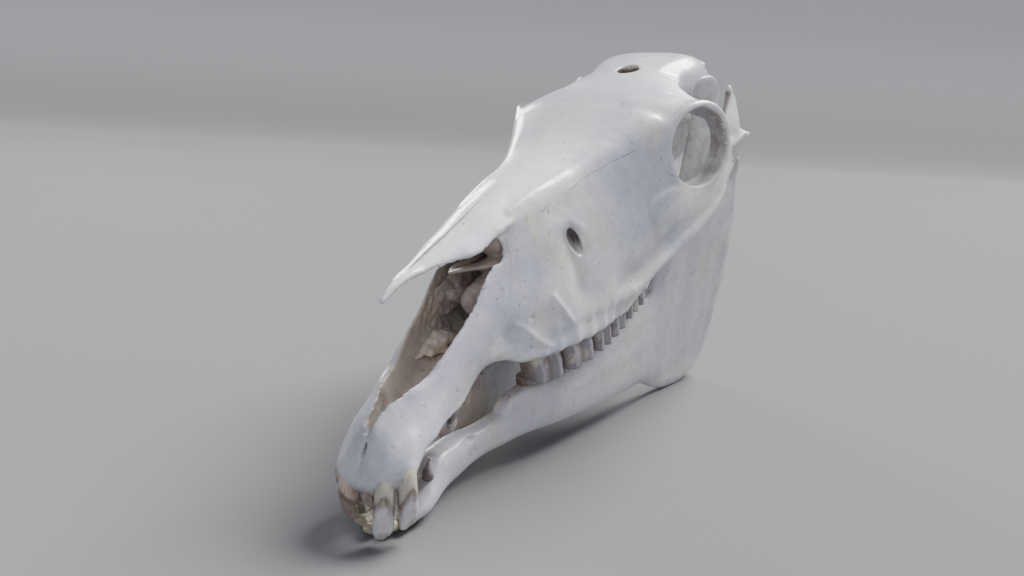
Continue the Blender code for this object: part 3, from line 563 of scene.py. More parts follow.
def soften(piece, mask, steps):
    """Evens the surface out where the mask, 0 to 1 at each point, is above 0."""
    mesh = piece.data
    points = points_of(mesh)
    amount = mask(points)
    ends = np.empty(len(mesh.edges) * 2, dtype=np.int64)
    mesh.edges.foreach_get("vertices", ends)
    ends = ends.reshape(-1, 2)
    ends = ends[amount[ends].max(axis=1) > 0.01]
    used = np.unique(ends)
    order = np.zeros(len(points), dtype=np.int64)
    order[used] = np.arange(len(used))
    a, b = order[ends[:, 0]], order[ends[:, 1]]
    near, share = points[used], 0.5 * amount[used][:, None]
    count = (np.bincount(a, minlength=len(used)) + np.bincount(b, minlength=len(used)))[:, None]
    for step in range(steps):
        total = np.column_stack([np.bincount(a, near[b, axis], len(used))
                                 + np.bincount(b, near[a, axis], len(used)) for axis in range(3)])
        near = near + share * (total / count - near)
    points[used] = near
    set_points(mesh, points)


def smooth_places(points):
    """Muzzle front, crease over the orbit and front end of the crest."""
    x, y, z = np.abs(points[:, 0]), points[:, 1], points[:, 2]
    mirror = np.column_stack([x, y, z])
    places = ease(y, 50, 34) * ease(z, 1, 8)
    places = np.maximum(places, bump_at(mirror, (74, 328, 148), (24, 34, 12)))
    places = np.maximum(places, bump_at(mirror, (52, 432, 152), (22, 26, 18)))
    places = np.maximum(places, bump_at(mirror, (62, 300, 138), (20, 30, 14)))
    places = np.maximum(places, 0.8 * bump_at(mirror, (62, 236, 24), (12, 12, 9)))
    return np.clip(1.3 * places, 0, 1)


def at_rest():
    """From the skull's own axes to the table: tilt, then height and centring."""
    return (Matrix.Translation(-(REST_CENTRE + Vector((0.0, 0.0, REST_LEVEL))) * MM)
            @ Matrix.Rotation(REST_TILT, 4, "X"))


REST = at_rest()


def lay_down(piece):
    """Turns a piece from the skull's own axes to the table."""
    piece.data.transform(REST)
    piece.data.update()


def bump_at(points, centre, reach):
    """1 at the centre, falling smoothly to 0 over about the reach (one number or one per axis)."""
    offset = (points - np.array(centre)) / np.array(reach)
    return np.exp(-(offset ** 2).sum(axis=1))


def line_bump(points, path, reach):
    """1 on a smooth path, falling off over the reach."""
    line = smooth_curve(path, LINE_SPANS)
    tree = kdtree.KDTree(len(line))
    for i, point in enumerate(line):
        tree.insert(point, i)
    tree.balance()
    low, high = line.min(axis=0) - 3 * reach, line.max(axis=0) + 3 * reach
    inside = np.all((points > low) & (points < high), axis=1)
    result = np.zeros(len(points))
    for i in np.where(inside)[0]:
        result[i] = math.exp(-(tree.find(points[i])[2] / reach) ** 2)
    return result


# ---------------------------------------------------------------- fine relief of the bones
def nose_lining(points, normals):
    """1 on the walls inside the nose, behind its front groove."""
    half, floor = along(CAVITY_LOW_HALF), along(CAVITY_FLOOR)
    x, y, z = points[:, 0], points[:, 1], points[:, 2]
    inside = ease(np.abs(x), half(y) + 3.5, half(y) + 1.5) * ease(z, floor(y) - 3, floor(y) - 1)
    low = ease(z, floor(y) + 14, floor(y) + 9)
    facing = (ease(-normals[:, 0] * np.sign(x), 0.1, 0.5) + low * ease(normals[:, 2], 0.5, 0.9)
              + ease(normals[:, 2], -0.3, -0.7))
    below_roof = ease(z, along(NASAL_TOP)(y) - 3.0, along(NASAL_TOP)(y) - 5.0)
    return inside * np.clip(facing, 0, 1) * below_roof * ease(y, 16, 24) * ease(y, 275, 262)


def orbit_place(points):
    """Depth inside the orbit's rim, distance from its axis (1 at the rim) and height above it."""
    mirror = np.column_stack([np.abs(points[:, 0]), points[:, 1], points[:, 2]])
    offset = mirror - np.array(ORBIT)
    axis = np.array(ORBIT_BACK.cross(ORBIT_UP).normalized())
    back, up = np.array(ORBIT_BACK), np.array(ORBIT_UP)
    across = (offset @ back) / (back @ back)
    rise = (offset @ up) / (up @ up)
    return -(offset @ axis), np.hypot(across, rise), rise


def forehead_hole(points):
    """1 inside the round hole of the forehead, below its rim."""
    across = np.hypot((points[:, 0] - 4) / 10.4, (points[:, 1] - 410) / 13.4)
    return ease(across, 1.2, 1.02) * ease(points[:, 2], 168.5, 166) * ease(points[:, 2], 125, 135)


CRANIUM_SPOTS = (
    # centre, reach, strength: behind the jaw joint, nerve opening with painted shade inside, spike, socket,
    # dome's flank
    ((40, 455, 98), (16, 40, 22), 0.55),
    ((42, 211, 83), (5, 9, 11), 0.8),
    ((91, 420, 136), (5, 7, 9), 0.8),
    ((20, 75, 1), (6, 8, 5), 0.9),
    ((46, 446, 150), (20, 34, 22), 0.16))
MANDIBLE_SPOTS = (
    # centre, reach, strength: painted shadow in the hollow of the joint, canine socket, front of the chin
    ((100, 448, 87), (16, 16, 10), 0.85),
    ((15, 46, -22), (8, 10, 7), 0.8),
    ((14, 20, -34), (14, 12, 6), 0.5))
CRANIUM_LINES = (
    # path, reach, strength: right edge of the nose, under the nasal bones, front cleft with brown and painted
    # shade, sockets
    ([(-18, 62, 50), (-20, 84, 62), (-21, 110, 76)], 2.6, 0.6),
    ([(0, 56, 112), (0, 90, 112), (0, 120, 117)], 1.6, 0.6),
    ([(6, 36, 41), (4.5, 29, 39), (2.5, 22.5, 35), (0.5, 16, 28)], 3.2, 0.85),
    ([(-28, 17, 2), (-18, 4, -1), (-8, 0, -3), (2, 0, -3), (9, 0, -2), (16, 3, -1), (24, 9, 1),
      (30, 17, 3)], 3.4, 0.8))
GAP_EDGE = [(24, 30, 1), (21, 44, 2), (18, 60, 3)]


def cranium_stain_and_shade(points, normals):
    """Where years in the ground left brown: nose, orbits, tooth sockets and broken edges; painted shade in
    openings, the cleft, the orbits' tops and under the arch.
    """
    x, y, z = np.abs(points[:, 0]), points[:, 1], points[:, 2]
    mirror = np.column_stack([x, y, z])
    stain = nose_lining(points, normals) * (0.26 + 0.05 * ease(y, 80, 125) + 0.5 * ease(y, 46, 34))
    # the orbit's inner wall is brown, and darker towards its top as painted shade under the brow
    depth, ring, rise = orbit_place(points)
    wall = ease(ring, 1.22, 1.08) * ease(depth, 0.8, 2.4) * ease(depth, 60, 40)
    gum_z = along(GUM_LEVEL)(np.clip(y, 2, 325))
    sockets = ease(z, gum_z + 3.5, gum_z - 0.5) * ease(y, 330, 320)
    spike = (ease(x, 98.5, 95.5) * ease(x, 84, 88) * ease(y, 404, 409) * ease(y, 436, 430)
             * ease(z, 150, 144) * ease(z, 114, 120))
    # painted shadow under the cheek arch beside the jaw joint
    underside = (ease(x, 94, 99) * ease(y, 396, 404) * ease(y, 445, 439)
                 * ease(z, 105, 102.5) * ease(z, 84, 88))
    # brown and painted shade in the cleft of the snout's front
    cleft = (ease(normals[:, 0], 0.4, 0.75) * ease(points[:, 0], -14, -9) * ease(points[:, 0], 1, -1)
             * ease(y, 20, 23) * ease(y, 56, 40) * ease(z, 16, 21))
    # inside the forehead hole the mark is painted shade
    marks = [wall * (0.5 + 0.3 * ease(rise, -0.6, 0.5)), forehead_hole(points), 0.55 * sockets, spike,
             0.85 * underside, 0.85 * cleft, 0.5 * line_bump(mirror, GAP_EDGE, 3.5)]
    marks += [strength * bump_at(mirror, centre, reach) for centre, reach, strength in CRANIUM_SPOTS]
    marks += [strength * line_bump(points, path, reach) for path, reach, strength in CRANIUM_LINES]
    return np.clip(np.maximum.reduce([stain, *marks]), 0, 1)


def mandible_stain_and_shade(points, normals):
    """Brown of the jaw: its inner sides, its rear top, the canine sockets and the bite, with painted shadow
    in the hollow of the joint.
    """
    x, y, z = np.abs(points[:, 0]), points[:, 1], points[:, 2]
    mirror = np.column_stack([x, y, z])
    inner = ease(-normals[:, 0] * np.sign(points[:, 0]), 0.0, 0.6)
    edge = along(JAW_TOP)(y)
    marks = [inner * (0.05 + 0.05 * ease(y, 150, 90)), 0.34 * ease(z, 50, 80), 0.4 * inner * ease(y, 75, 55),
             0.5 * ease(z, edge - 4, edge - 1) * ease(y, 84, 66),
             0.5 * ease(z, edge - 3, edge) * ease(y, 330, 320) * ease(y, 126, 136)]
    marks += [strength * bump_at(mirror, centre, reach) for centre, reach, strength in MANDIBLE_SPOTS]
    return np.clip(np.maximum.reduce(marks), 0, 1)


def dusk_shade(points, normals):
    """Painted blue-grey shade where less light falls: the sides, the hollow by the cheek crest, and most of
    all the front of the snout.
    """
    y = points[:, 1]
    side = 0.2 * ease(np.abs(normals[:, 0]), 0.55, 0.9) + 0.1 * ease(-normals[:, 2], 0.0, 0.7)
    snout = 0.75 * ease(y, 62, 18) * ease(-normals[:, 1] - 0.45 * normals[:, 2], -0.5, 0.35)
    mirror = np.column_stack([np.abs(points[:, 0]), y, points[:, 2]])
    cheek = 0.25 * bump_at(mirror, (70, 280, 60), (40, 40, 24))
    cheek += 0.4 * line_bump(mirror, [(66, 244, 30), (72, 262, 34), (78, 280, 41), (84, 300, 50)], 6.0)
    return np.clip(np.maximum(side, snout) + cheek, 0, 1)


def cranium_tone(points, normals):
    """Painted blue-grey shade above 0, sandy colour below 0, as it is inside the nose."""
    lined = nose_lining(points, normals)
    return dusk_shade(points, normals) * (1 - lined) - 0.8 * lined


def mandible_tone(points, normals):
    """Painted blue-grey shade on the sides above 0, sandy colour below 0, as it is on the inner sides of the
    jaw.
    """
    inner = ease(-normals[:, 0] * np.sign(points[:, 0]), -0.1, 0.4) * ease(points[:, 1], 175, 145)
    side = 0.15 * ease(np.abs(normals[:, 0]), 0.55, 0.9)
    return side * (1 - inner) - 0.85 * inner


def cranium_relief(points, normals):
    """Height of the small forms on the cranium, in millimetres along the normal."""
    x, y, z = np.abs(points[:, 0]), points[:, 1], points[:, 2]
    side = ease(np.abs(normals[:, 0]), 0.35, 0.8)
    mirror = np.column_stack([x, y, z])
    lined = nose_lining(points, normals)
    height = 0.4 * noise_at(points, 26.0, 3.0) + 0.16 * noise_at(points, 7.0, 8.0)
    # roots of the cheek teeth show through the outer wall
    roots = np.zeros(len(points))
    for front, back in zip(CHEEK_TEETH[:4], CHEEK_TEETH[1:5]):
        for place in (0.27, 0.73):
            middle = front + (back - front) * place
            roots += np.exp(-((y - middle - 0.12 * (z - 5)) / 4.5) ** 2)
    height += 1.3 * roots * side * ease(z, -4, 4) * ease(z, 34, 12)
    # hollows and short ridges over the first cheek tooth
    height -= 3.4 * bump_at(mirror, (32, 136, 36), (14, 11, 9))
    height -= 2.6 * bump_at(mirror, (42, 162, 33), (14, 10, 12))
    height += 1.5 * line_bump(mirror, [(34.5, 141, 42), (36, 145, 38.5), (40, 151, 30.5), (43.5, 158, 21),
                                       (46, 165, 15)], 2.6)
    height += 1.6 * line_bump(mirror, [(45, 177, 50), (46.5, 178.5, 45), (49, 181.3, 39),
                                       (51.4, 183.8, 31.5), (53, 187, 25)], 2.5)
    for spot, depth in (((39, 155, 42.4), 1.3), ((52, 184.8, 23.4), 1.0), ((31.8, 132.8, 36), 1.1),
                        ((57, 204, 17), 0.9), ((60, 214, 20), 0.9), ((44, 190, 66), 0.5)):
        height -= depth * bump_at(mirror, spot, (2.2, 2.2, 1.8))
    height -= 1.2 * bump_at(mirror, (62, 214, 34), (20, 16, 10))
    height -= 3.0 * bump_at(mirror, (70, 257, 36), (20, 16, 9))
    # the cleft between the two front bones of the snout
    height -= 2.2 * line_bump(points, [(8, 34, 42), (6.5, 29, 39), (4, 22.5, 35), (1.5, 16, 28)], 2.4)
    height += 2.8 * line_bump(mirror, [(15, 38, 43), (11, 29, 40), (7.5, 22, 36), (5, 16.5, 29)], 4.0)
    # ragged bone along the sockets of the front teeth
    rim = line_bump(points, [(-28, 20, 4), (-18, 9, 1), (-8, 3, 0), (2, 1, -1), (9, 1.5, 0), (17, 5, 1),
                             (24, 11, 2), (30, 20, 4)], 5.0)
    height += rim * (0.9 * noise_at(points, 4.0, 41.0) + 0.6 * noise_at(points, 2.0, 43.0))
    # groove running forward and down from the nerve opening
    height -= 2.0 * line_bump(mirror, [(46, 205, 84), (48, 204, 70), (50, 204, 58), (52, 202, 46)], 7.0)
    height += 0.8 * line_bump(mirror, [(44, 206, 99), (45, 216, 94), (46, 224, 84), (47, 229, 74)], 3.4)
    # hollow that sets off the thin edge of the cheek crest
    height -= 2.4 * line_bump(mirror, [(66, 246, 29), (72, 262, 31), (78, 280, 38), (84, 300, 46),
                                       (92, 325, 56)], 5.5)
    height += 0.9 * line_bump(mirror, [(66, 247, 20), (71, 258, 18.5), (74.5, 273, 20), (79.5, 289, 28.5),
                                       (85, 313, 36)], 2.2)
    # sharp line where roof and side meet, and the flat of the side under it
    height += 0.9 * line_bump(mirror, [(25, 150, 110), (30, 172, 113), (35, 200, 118), (42, 230, 123),
                                       (50, 262, 130)], 3.2)
    height -= 0.8 * line_bump(mirror, [(31, 165, 100), (37, 200, 104), (45, 240, 108)], 8.0)
    # side of the face in front of the orbit
    height -= 1.5 * bump_at(mirror, (66, 285, 92), (20, 26, 16))
    height += 1.0 * bump_at(mirror, (72, 318, 108), (14, 10, 14))
    # thick rounded edge of the nasal opening
    height += 0.7 * line_bump(mirror, [(22, 127, 82), (23, 107, 68), (22, 88, 56), (20, 62, 43),
                                       (15, 47, 40)], 3.0)
    # rough lining of the nose
    rough = lined * (0.15 + 0.85 * ease(y, 76, 110))
    height += rough * (1.1 * noise_at(points, 6.5, 31.0) + 0.8 * noise_at(points, 2.8, 37.0))
    # small hollow at the rear end of the brow
    height -= 1.0 * bump_at(mirror, (80, 392, 147), (4, 4, 4))
    # low ridge on each side of the braincase, up to the nape
    height += 0.5 * line_bump(mirror, [(40, 430, 160), (22, 462, 168), (8, 500, 163), (3, 545, 154)], 3.5)
    return height


def mandible_relief(points, normals):
    """Height of the small forms on the mandible, in millimetres along the normal."""
    x, y, z = np.abs(points[:, 0]), points[:, 1], points[:, 2]
    mirror = np.column_stack([x, y, z])
    outer = ease(normals[:, 0] * np.sign(points[:, 0]), 0.2, 0.7)
    inner = ease(-normals[:, 0] * np.sign(points[:, 0]), 0.2, 0.7)
    height = 0.3 * noise_at(points, 30.0, 13.0) + 0.1 * noise_at(points, 8.0, 18.0)
    fossa = bump_at(mirror, (72, 405, -40), (40, 42, 62))
    height -= (1.7 * outer + 1.2 * inner) * fossa
    height += 1.5 * outer * line_bump(mirror, [(86, 458, -10), (82, 452, -70), (74, 446, -115),
                                               (66, 430, -145), (58, 400, -152), (52, 365, -140)], 9.0)
    for start, end in (((80, 395, 10), (64, 400, -120)), ((82, 425, 0), (68, 425, -125)),
                       ((74, 362, 0), (56, 352, -110))):
        middle = [(a + b) / 2 for a, b in zip(start, end)]
        height += 0.35 * outer * line_bump(mirror, [start, middle, end], 9.0)
    height -= 1.4 * outer * bump_at(mirror, (48, 318, -88), (30, 18, 22))
    height += 0.7 * outer * line_bump(mirror, [(40, 180, -40), (50, 240, -48), (56, 300, -60)], 8.0)
    height -= 3.4 * bump_at(mirror, (20, 92, -27), (8, 3.0, 2.2)) * outer
    height -= 0.9 * bump_at(mirror, (20, 86, -26), (8, 6.0, 2.5)) * outer
    return height


def recess_shade(piece, occluders, rays, reach):
    """How closed in each coarse point is, from 0 open to 1 deep, by rays over its half sphere."""
    tree = bvhtree.BVHTree.FromObject(piece, bpy.context.evaluated_depsgraph_get())
    trees = [bvhtree.BVHTree.FromObject(other, bpy.context.evaluated_depsgraph_get())
             for other in occluders]
    golden = math.pi * (3 - math.sqrt(5))
    dome = []
    for i in range(rays):
        height = math.sqrt((i + 0.5) / rays)
        ring = math.sqrt(1 - height * height)
        dome.append(Vector((ring * math.cos(golden * i), ring * math.sin(golden * i), height)))
    shade = []
    for vert in piece.data.vertices:
        turn = vert.normal.to_track_quat("Z", "Y")
        origin = vert.co + vert.normal * RAY_LIFT
        hits = 0.0
        for way in dome:
            ray = turn @ way
            for body in [tree] + trees:
                found = body.ray_cast(origin, ray, reach)
                if found[0] is not None:
                    hits += 1.0 - 0.5 * found[3] / reach
                    break
        shade.append(hits / rays)
    return np.array([vert.co[:] for vert in piece.data.vertices]), np.array(shade)


def store(piece, name, values):
    """Keeps one number at each point, for the finishes to read."""
    layer = piece.data.attributes.new(name, "FLOAT", "POINT")
    layer.data.foreach_set("value", np.asarray(values, dtype=np.float32))


def spread_shade(piece, places, shade):
    """Carries a value found at coarse places to every point of a fine mesh."""
    tree = kdtree.KDTree(len(places))
    for i, place in enumerate(places):
        tree.insert(place, i)
    tree.balance()
    values = []
    for vert in piece.data.vertices:
        near = tree.find_n(vert.co, 4)
        weights = [1.0 / (found[2] + SPREAD_SOFTNESS) for found in near]
        values.append(sum(w * shade[found[1]] for w, found in zip(weights, near)) / sum(weights))
    return np.array(values)


def finish_bone(piece, relief, stain, tone, triangles):
    """Evens a bone out, raises its small forms and stores where it is stained, with painted shade in some
    hollows, and its tone.
    """
    apply_modifier(piece, "SMOOTH", factor=0.5, iterations=2)
    points, normals = points_of(piece.data), normals_of(piece.data)
    set_points(piece.data, points + normals * relief(points, normals)[:, None])
    thin_out(piece, triangles)
    points, normals = points_of(piece.data), normals_of(piece.data)
    # stain: brown stains, with painted shade in some hollows and openings
    store(piece, "stain", stain(points, normals))
    # tone: painted blue-grey shade above 0, sandy colour below 0
    store(piece, "tone", tone(points, normals))


def make_cranium():
    """The upper skull: fused, evened out, opened up, then given its fine surface."""
    cranium = mesh_object("skull_cranium", cranium_solids())
    fuse(cranium, VOXEL)
    apply_modifier(cranium, "SMOOTH", factor=0.5, iterations=4)
    soften(cranium, smooth_places, SMOOTH_STEPS)
    for number, group in enumerate(cranium_cutters()):
        carve(cranium, mesh_object(f"opening_{number}", group))
    fuse(cranium, VOXEL)
    finish_bone(cranium, cranium_relief, cranium_stain_and_shade, cranium_tone, CRANIUM_TRIANGLES)
    return cranium


def make_mandible():
    """The lower jaw: fused, then given its fine surface."""
    mandible = mesh_object("skull_mandible", mandible_solids())
    fuse(mandible, VOXEL)
    finish_bone(mandible, mandible_relief, mandible_stain_and_shade, mandible_tone, MANDIBLE_TRIANGLES)
    return mandible


# ---------------------------------------------------------------- teeth
def swept_tooth(name, path, half_sizes, facing, groove=0.0, tip_slant=0.0, chipped=0.0,
                squareness=0.8):
    """Tooth swept from its root to its tip, with a groove down its outer face and an inset crown."""
    centres = smooth_curve(path, TUBE_SPANS)
    sizes = smooth_curve(half_sizes, TUBE_SPANS)
    facing = np.array(facing, dtype=float)
    turns = np.linspace(0, 2 * math.pi, FRONT_TOOTH_SIDES, endpoint=False)
    c = np.sign(np.cos(turns)) * np.abs(np.cos(turns)) ** squareness
    s = np.sign(np.sin(turns)) * np.abs(np.sin(turns)) ** squareness
    furrow = groove * np.exp(-(np.cos(turns) / 0.22) ** 2) * (np.sin(turns) > 0)
    rings = []
    last = len(centres) - 1
    for i, centre in enumerate(centres):
        ahead = centres[min(i + 1, last)] - centres[max(i - 1, 0)]
        ahead /= np.linalg.norm(ahead)
        across = np.cross(ahead, facing)
        across /= np.linalg.norm(across)
        outward = np.cross(across, ahead)
        ring = (centre + np.outer(c, across) * sizes[i][0]
                + np.outer(s * (1.0 - furrow * ease(i / last, 0.3, 0.7)), outward) * sizes[i][1])
        slant = tip_slant * c - chipped * c * c + 0.12 * chipped * np.sin(9 * c + 2)
        ring = ring + np.outer(slant, ahead) * (i / last) ** 3
        rings.append(ring)
    ahead = centres[-1] - centres[-2]
    ahead /= np.linalg.norm(ahead)
    # worn end, dished in the middle
    for shrink, sink in ((0.9, 0.5), (0.72, 0.45), (0.55, -0.4), (0.3, -1.2)):
        rings.append(rings[last].mean(axis=0) + (rings[last] - rings[last].mean(axis=0)) * shrink
                     + ahead * sink)
    points, faces = loft(rings)
    piece = mesh_object(name, [(points, faces)])
    crown = np.minimum(np.repeat(np.arange(len(rings)), FRONT_TOOTH_SIDES) / last, 1.0)
    crown = crown + np.where(crown < 0.97, 0.08 - 0.2 * np.tile(c * c, len(rings)), 0.0)
    store(piece, "crown", np.concatenate([crown, [0.0, 1.0]]))
    # darker at the sides and on the inner face: painted shade between and behind the teeth
    lobes = np.tile(1 - 0.6 * np.cos(turns) ** 8 - 0.2 * (np.sin(turns) < 0), len(rings))
    store(piece, "lobe", np.concatenate([lobes, [0.5, 0.5]]))
    return piece


def grinding_tooth(name, outer, front, back, width, root, bite, side, upper, taper=0.0, lobe=2.4):
    """Grinding tooth: two outer lobes with a furrow between, ridged corners, a sloping worn end.

    outer and bite give the place of the outer face and the worn end at any station."""
    middle, half = (front + back) / 2, (back - front) / 2 - 0.6
    turns = np.linspace(0, 2 * math.pi, CHEEK_TOOTH_SIDES, endpoint=False)
    c, s = np.cos(turns), np.sin(turns)
    y = half * np.sign(s) * np.abs(s) ** 0.42
    x = width / 2 * np.sign(c) * np.abs(c) ** 0.42
    furrow = np.cos(math.pi * y / half) ** 2
    x = x - lobe * furrow * np.clip(c, 0, 1) ** 0.5 + 0.6 * np.cos(5 * y / half) * np.clip(-c, 0, 1)
    x = width / 2 - (width / 2 - x) * (1 - taper * np.clip(-y / half, 0, 1) ** 1.5)
    face_x = outer(middle + y)
    worn = bite(middle + y)
    seed = front * 0.37 + (11.0 if upper else 0.0)
    rings = []
    toward = 1.0 if upper else -1.0
    for t in np.linspace(0, 1, CHEEK_TOOTH_LEVELS):
        swell = 1.0 + 0.04 * math.sin(math.pi * t) - 0.05 * (1 - t)
        tuck = (3.0 if upper else 2.0) * ease(t, 0.55, 0.0)
        slope = 0.13 * (x - width / 2)
        lobed = 1.3 * np.clip(c, 0, 1) * (np.sin(math.pi * np.abs(y) / half) - 0.5)
        end = worn - slope - toward * lobed - 0.5 * (1 + (not upper))
        z = root + (end - root) * t
        lean = 0.9 * math.sin(seed) * t
        rings.append(np.column_stack([side * (face_x - tuck - width / 2 + x * swell),
                                      middle + y * swell + lean, z]))
    top = rings[-1]
    centre = top.mean(axis=0)
    # worn end, with a ring of ridges
    for shrink, sink in ((0.93, 0.5), (0.82, 0.0), (0.6, -0.8), (0.35, 0.3)):
        ring = centre + (top - centre) * shrink
        ring[:, 2] -= toward * sink
        rings.append(ring)
    points, faces = loft(rings)
    piece = mesh_object(name, [(points, faces)])
    levels = np.repeat(np.arange(len(rings)), CHEEK_TOOTH_SIDES)
    crown = np.minimum(levels / (CHEEK_TOOTH_LEVELS - 1), 1.0)
    # low in the furrow and at the ends: painted shade; high on the lobes' crests: painted highlight
    furrowed = 1 - 0.85 * furrow * np.clip(c, 0, 1) ** 0.5
    lobes = np.tile(furrowed * (1 - 0.9 * ease(np.abs(y) / half, 0.8, 1)), len(rings))
    store(piece, "crown", np.concatenate([crown, [0.0, 1.0]]))
    store(piece, "lobe", np.concatenate([lobes, [0.5, 0.5]]))
    return piece


def make_teeth():
    """Every tooth as its own piece, grouped by finish."""
    groups = {"upper_grinders": [], "lower_grinders": [], "upper_front": [], "lower_front": [],
              "canines": []}
    gum, bite = along(GUM), along(BITE)
    for label, side in (("left", 1), ("right", -1)):
        for number, (front, back) in enumerate(zip(CHEEK_TEETH, CHEEK_TEETH[1:])):
            start = front - (1.0 if number == 0 else 0.0)
            taper = 0.4 if number == 0 else 0.0
            groups["upper_grinders"].append(grinding_tooth(
                f"upper_grinder_{label}_{number}", gum, start, back, UPPER_TOOTH_WIDTH,
                UPPER_ROOT_LEVEL, bite, side, True, taper=taper))
            groups["lower_grinders"].append(grinding_tooth(
                f"lower_grinder_{label}_{number}", lambda y: gum(y) - ARCADE_OFFSET,
                start + LOWER_ROW_SHIFT, back + LOWER_ROW_SHIFT, LOWER_TOOTH_WIDTH,
                LOWER_ROOT_LEVEL, bite, side, False, taper=taper * 0.7))
    # upper front teeth: root, gum, stain line, tip; half widths and half depths at each
    corner = [(22, 27, 9), (27.8, 15.8, 1.5), (29.8, 11.2, -12), (29, 9, -28.5)]
    second = [(15.5, 19, 9), (20, 5.2, 0.5), (21, -0.8, -12), (19.6, -5.8, -31.5)]
    first = [(5.5, 14, 10), (7.6, 1.8, -2), (8.0, -2.0, -14), (7.6, -4.5, -27)]
    sizes = [(4.6, 4.8), (6.1, 6.4), (6.5, 5.8), (6.7, 3.2)]
    for label, side in (("left", 1), ("right", -1)):
        for number, (path, facing, slant, chipped) in enumerate((
                (first, (0.2, -1, 0), 1.0, 1.5), (second, (0.55, -0.85, 0), 2.2, 4.5),
                (corner, (0.93, -0.37, 0), 4.5, 2.0))):
            if (number, label) == (0, "left"):
                continue
            back = (0, 6.0, 8.0)[number] if label == "right" else 0
            path = [((x - 0.4 * back) * side, y + back, z) for x, y, z in path]
            groups["upper_front"].append(swept_tooth(
                f"upper_front_{label}_{number}", path, sizes, (facing[0] * side, facing[1], 0),
                groove=0.14, tip_slant=slant * side, chipped=chipped,
                squareness=0.95))
    # the first tooth on the right is worn and brown, and a broken root stands beside it
    groups["worn_front"] = [groups["upper_front"].pop(2)]
    groups["worn_front"].append(swept_tooth(
        "upper_front_left_stub", [(6.8, 11, 14), (8.2, 3.5, 2), (8.8, 0.6, -6), (8.8, -1.2, -12.5)],
        [(4.2, 4.2), (5.4, 4.6), (5.4, 4.4), (5.0, 3.4)], (0.2, -1, 0), groove=0.3, tip_slant=-2.5))
    # lower front teeth, set back a little on the right
    lower = [[(5, 26, -42), (5.4, 14, -41), (5.8, 2, -37), (5.4, -4.0, -32.8)],
             [(11, 28, -42), (12.5, 18, -41), (14, 9, -37.5), (14, 3.5, -33.2)],
             [(15, 34, -41), (17.5, 25, -40), (19.5, 17, -37.5), (19.5, 12, -33.5)]]
    for label, side in (("left", 1), ("right", -1)):
        for number, path in enumerate(lower):
            inset = 0 if side > 0 else 3
            path = [(x * side + 0.6 * inset, y + inset, z) for x, y, z in path]
            groups["lower_front"].append(swept_tooth(
                f"lower_front_{label}_{number}", path,
                [(3.6, 3.8), (4.2, 4.0), (4.8, 3.8), (5.2, 3.2)], (0.1 * side, -0.5, -0.85),
                groove=0.1, tip_slant=0.4 * side))
        groups["canines"].append(swept_tooth(
            f"upper_canine_{label}", [(15 * side, 82, 12), (16 * side, 78.5, 6),
                                      (17.4 * side, 75, -1), (17.2 * side, 72, -6.5)],
            [(2.0, 2.4), (2.6, 3.2), (3.4, 4.0), (2.4, 2.8)], (side, 0, 0), squareness=1.0, chipped=1.5))
        groups["canines"].append(swept_tooth(
            f"lower_canine_{label}", [(15 * side, 47, -36), (16.5 * side, 44, -27),
                                      (18.3 * side, 44, -18.5), (19.3 * side, 46.5, -10.5)],
            [(3.4, 3.8), (3.8, 4.2), (3.2, 3.6), (1.1, 1.2)], (side, 0, 0), squareness=1.0))
    return groups


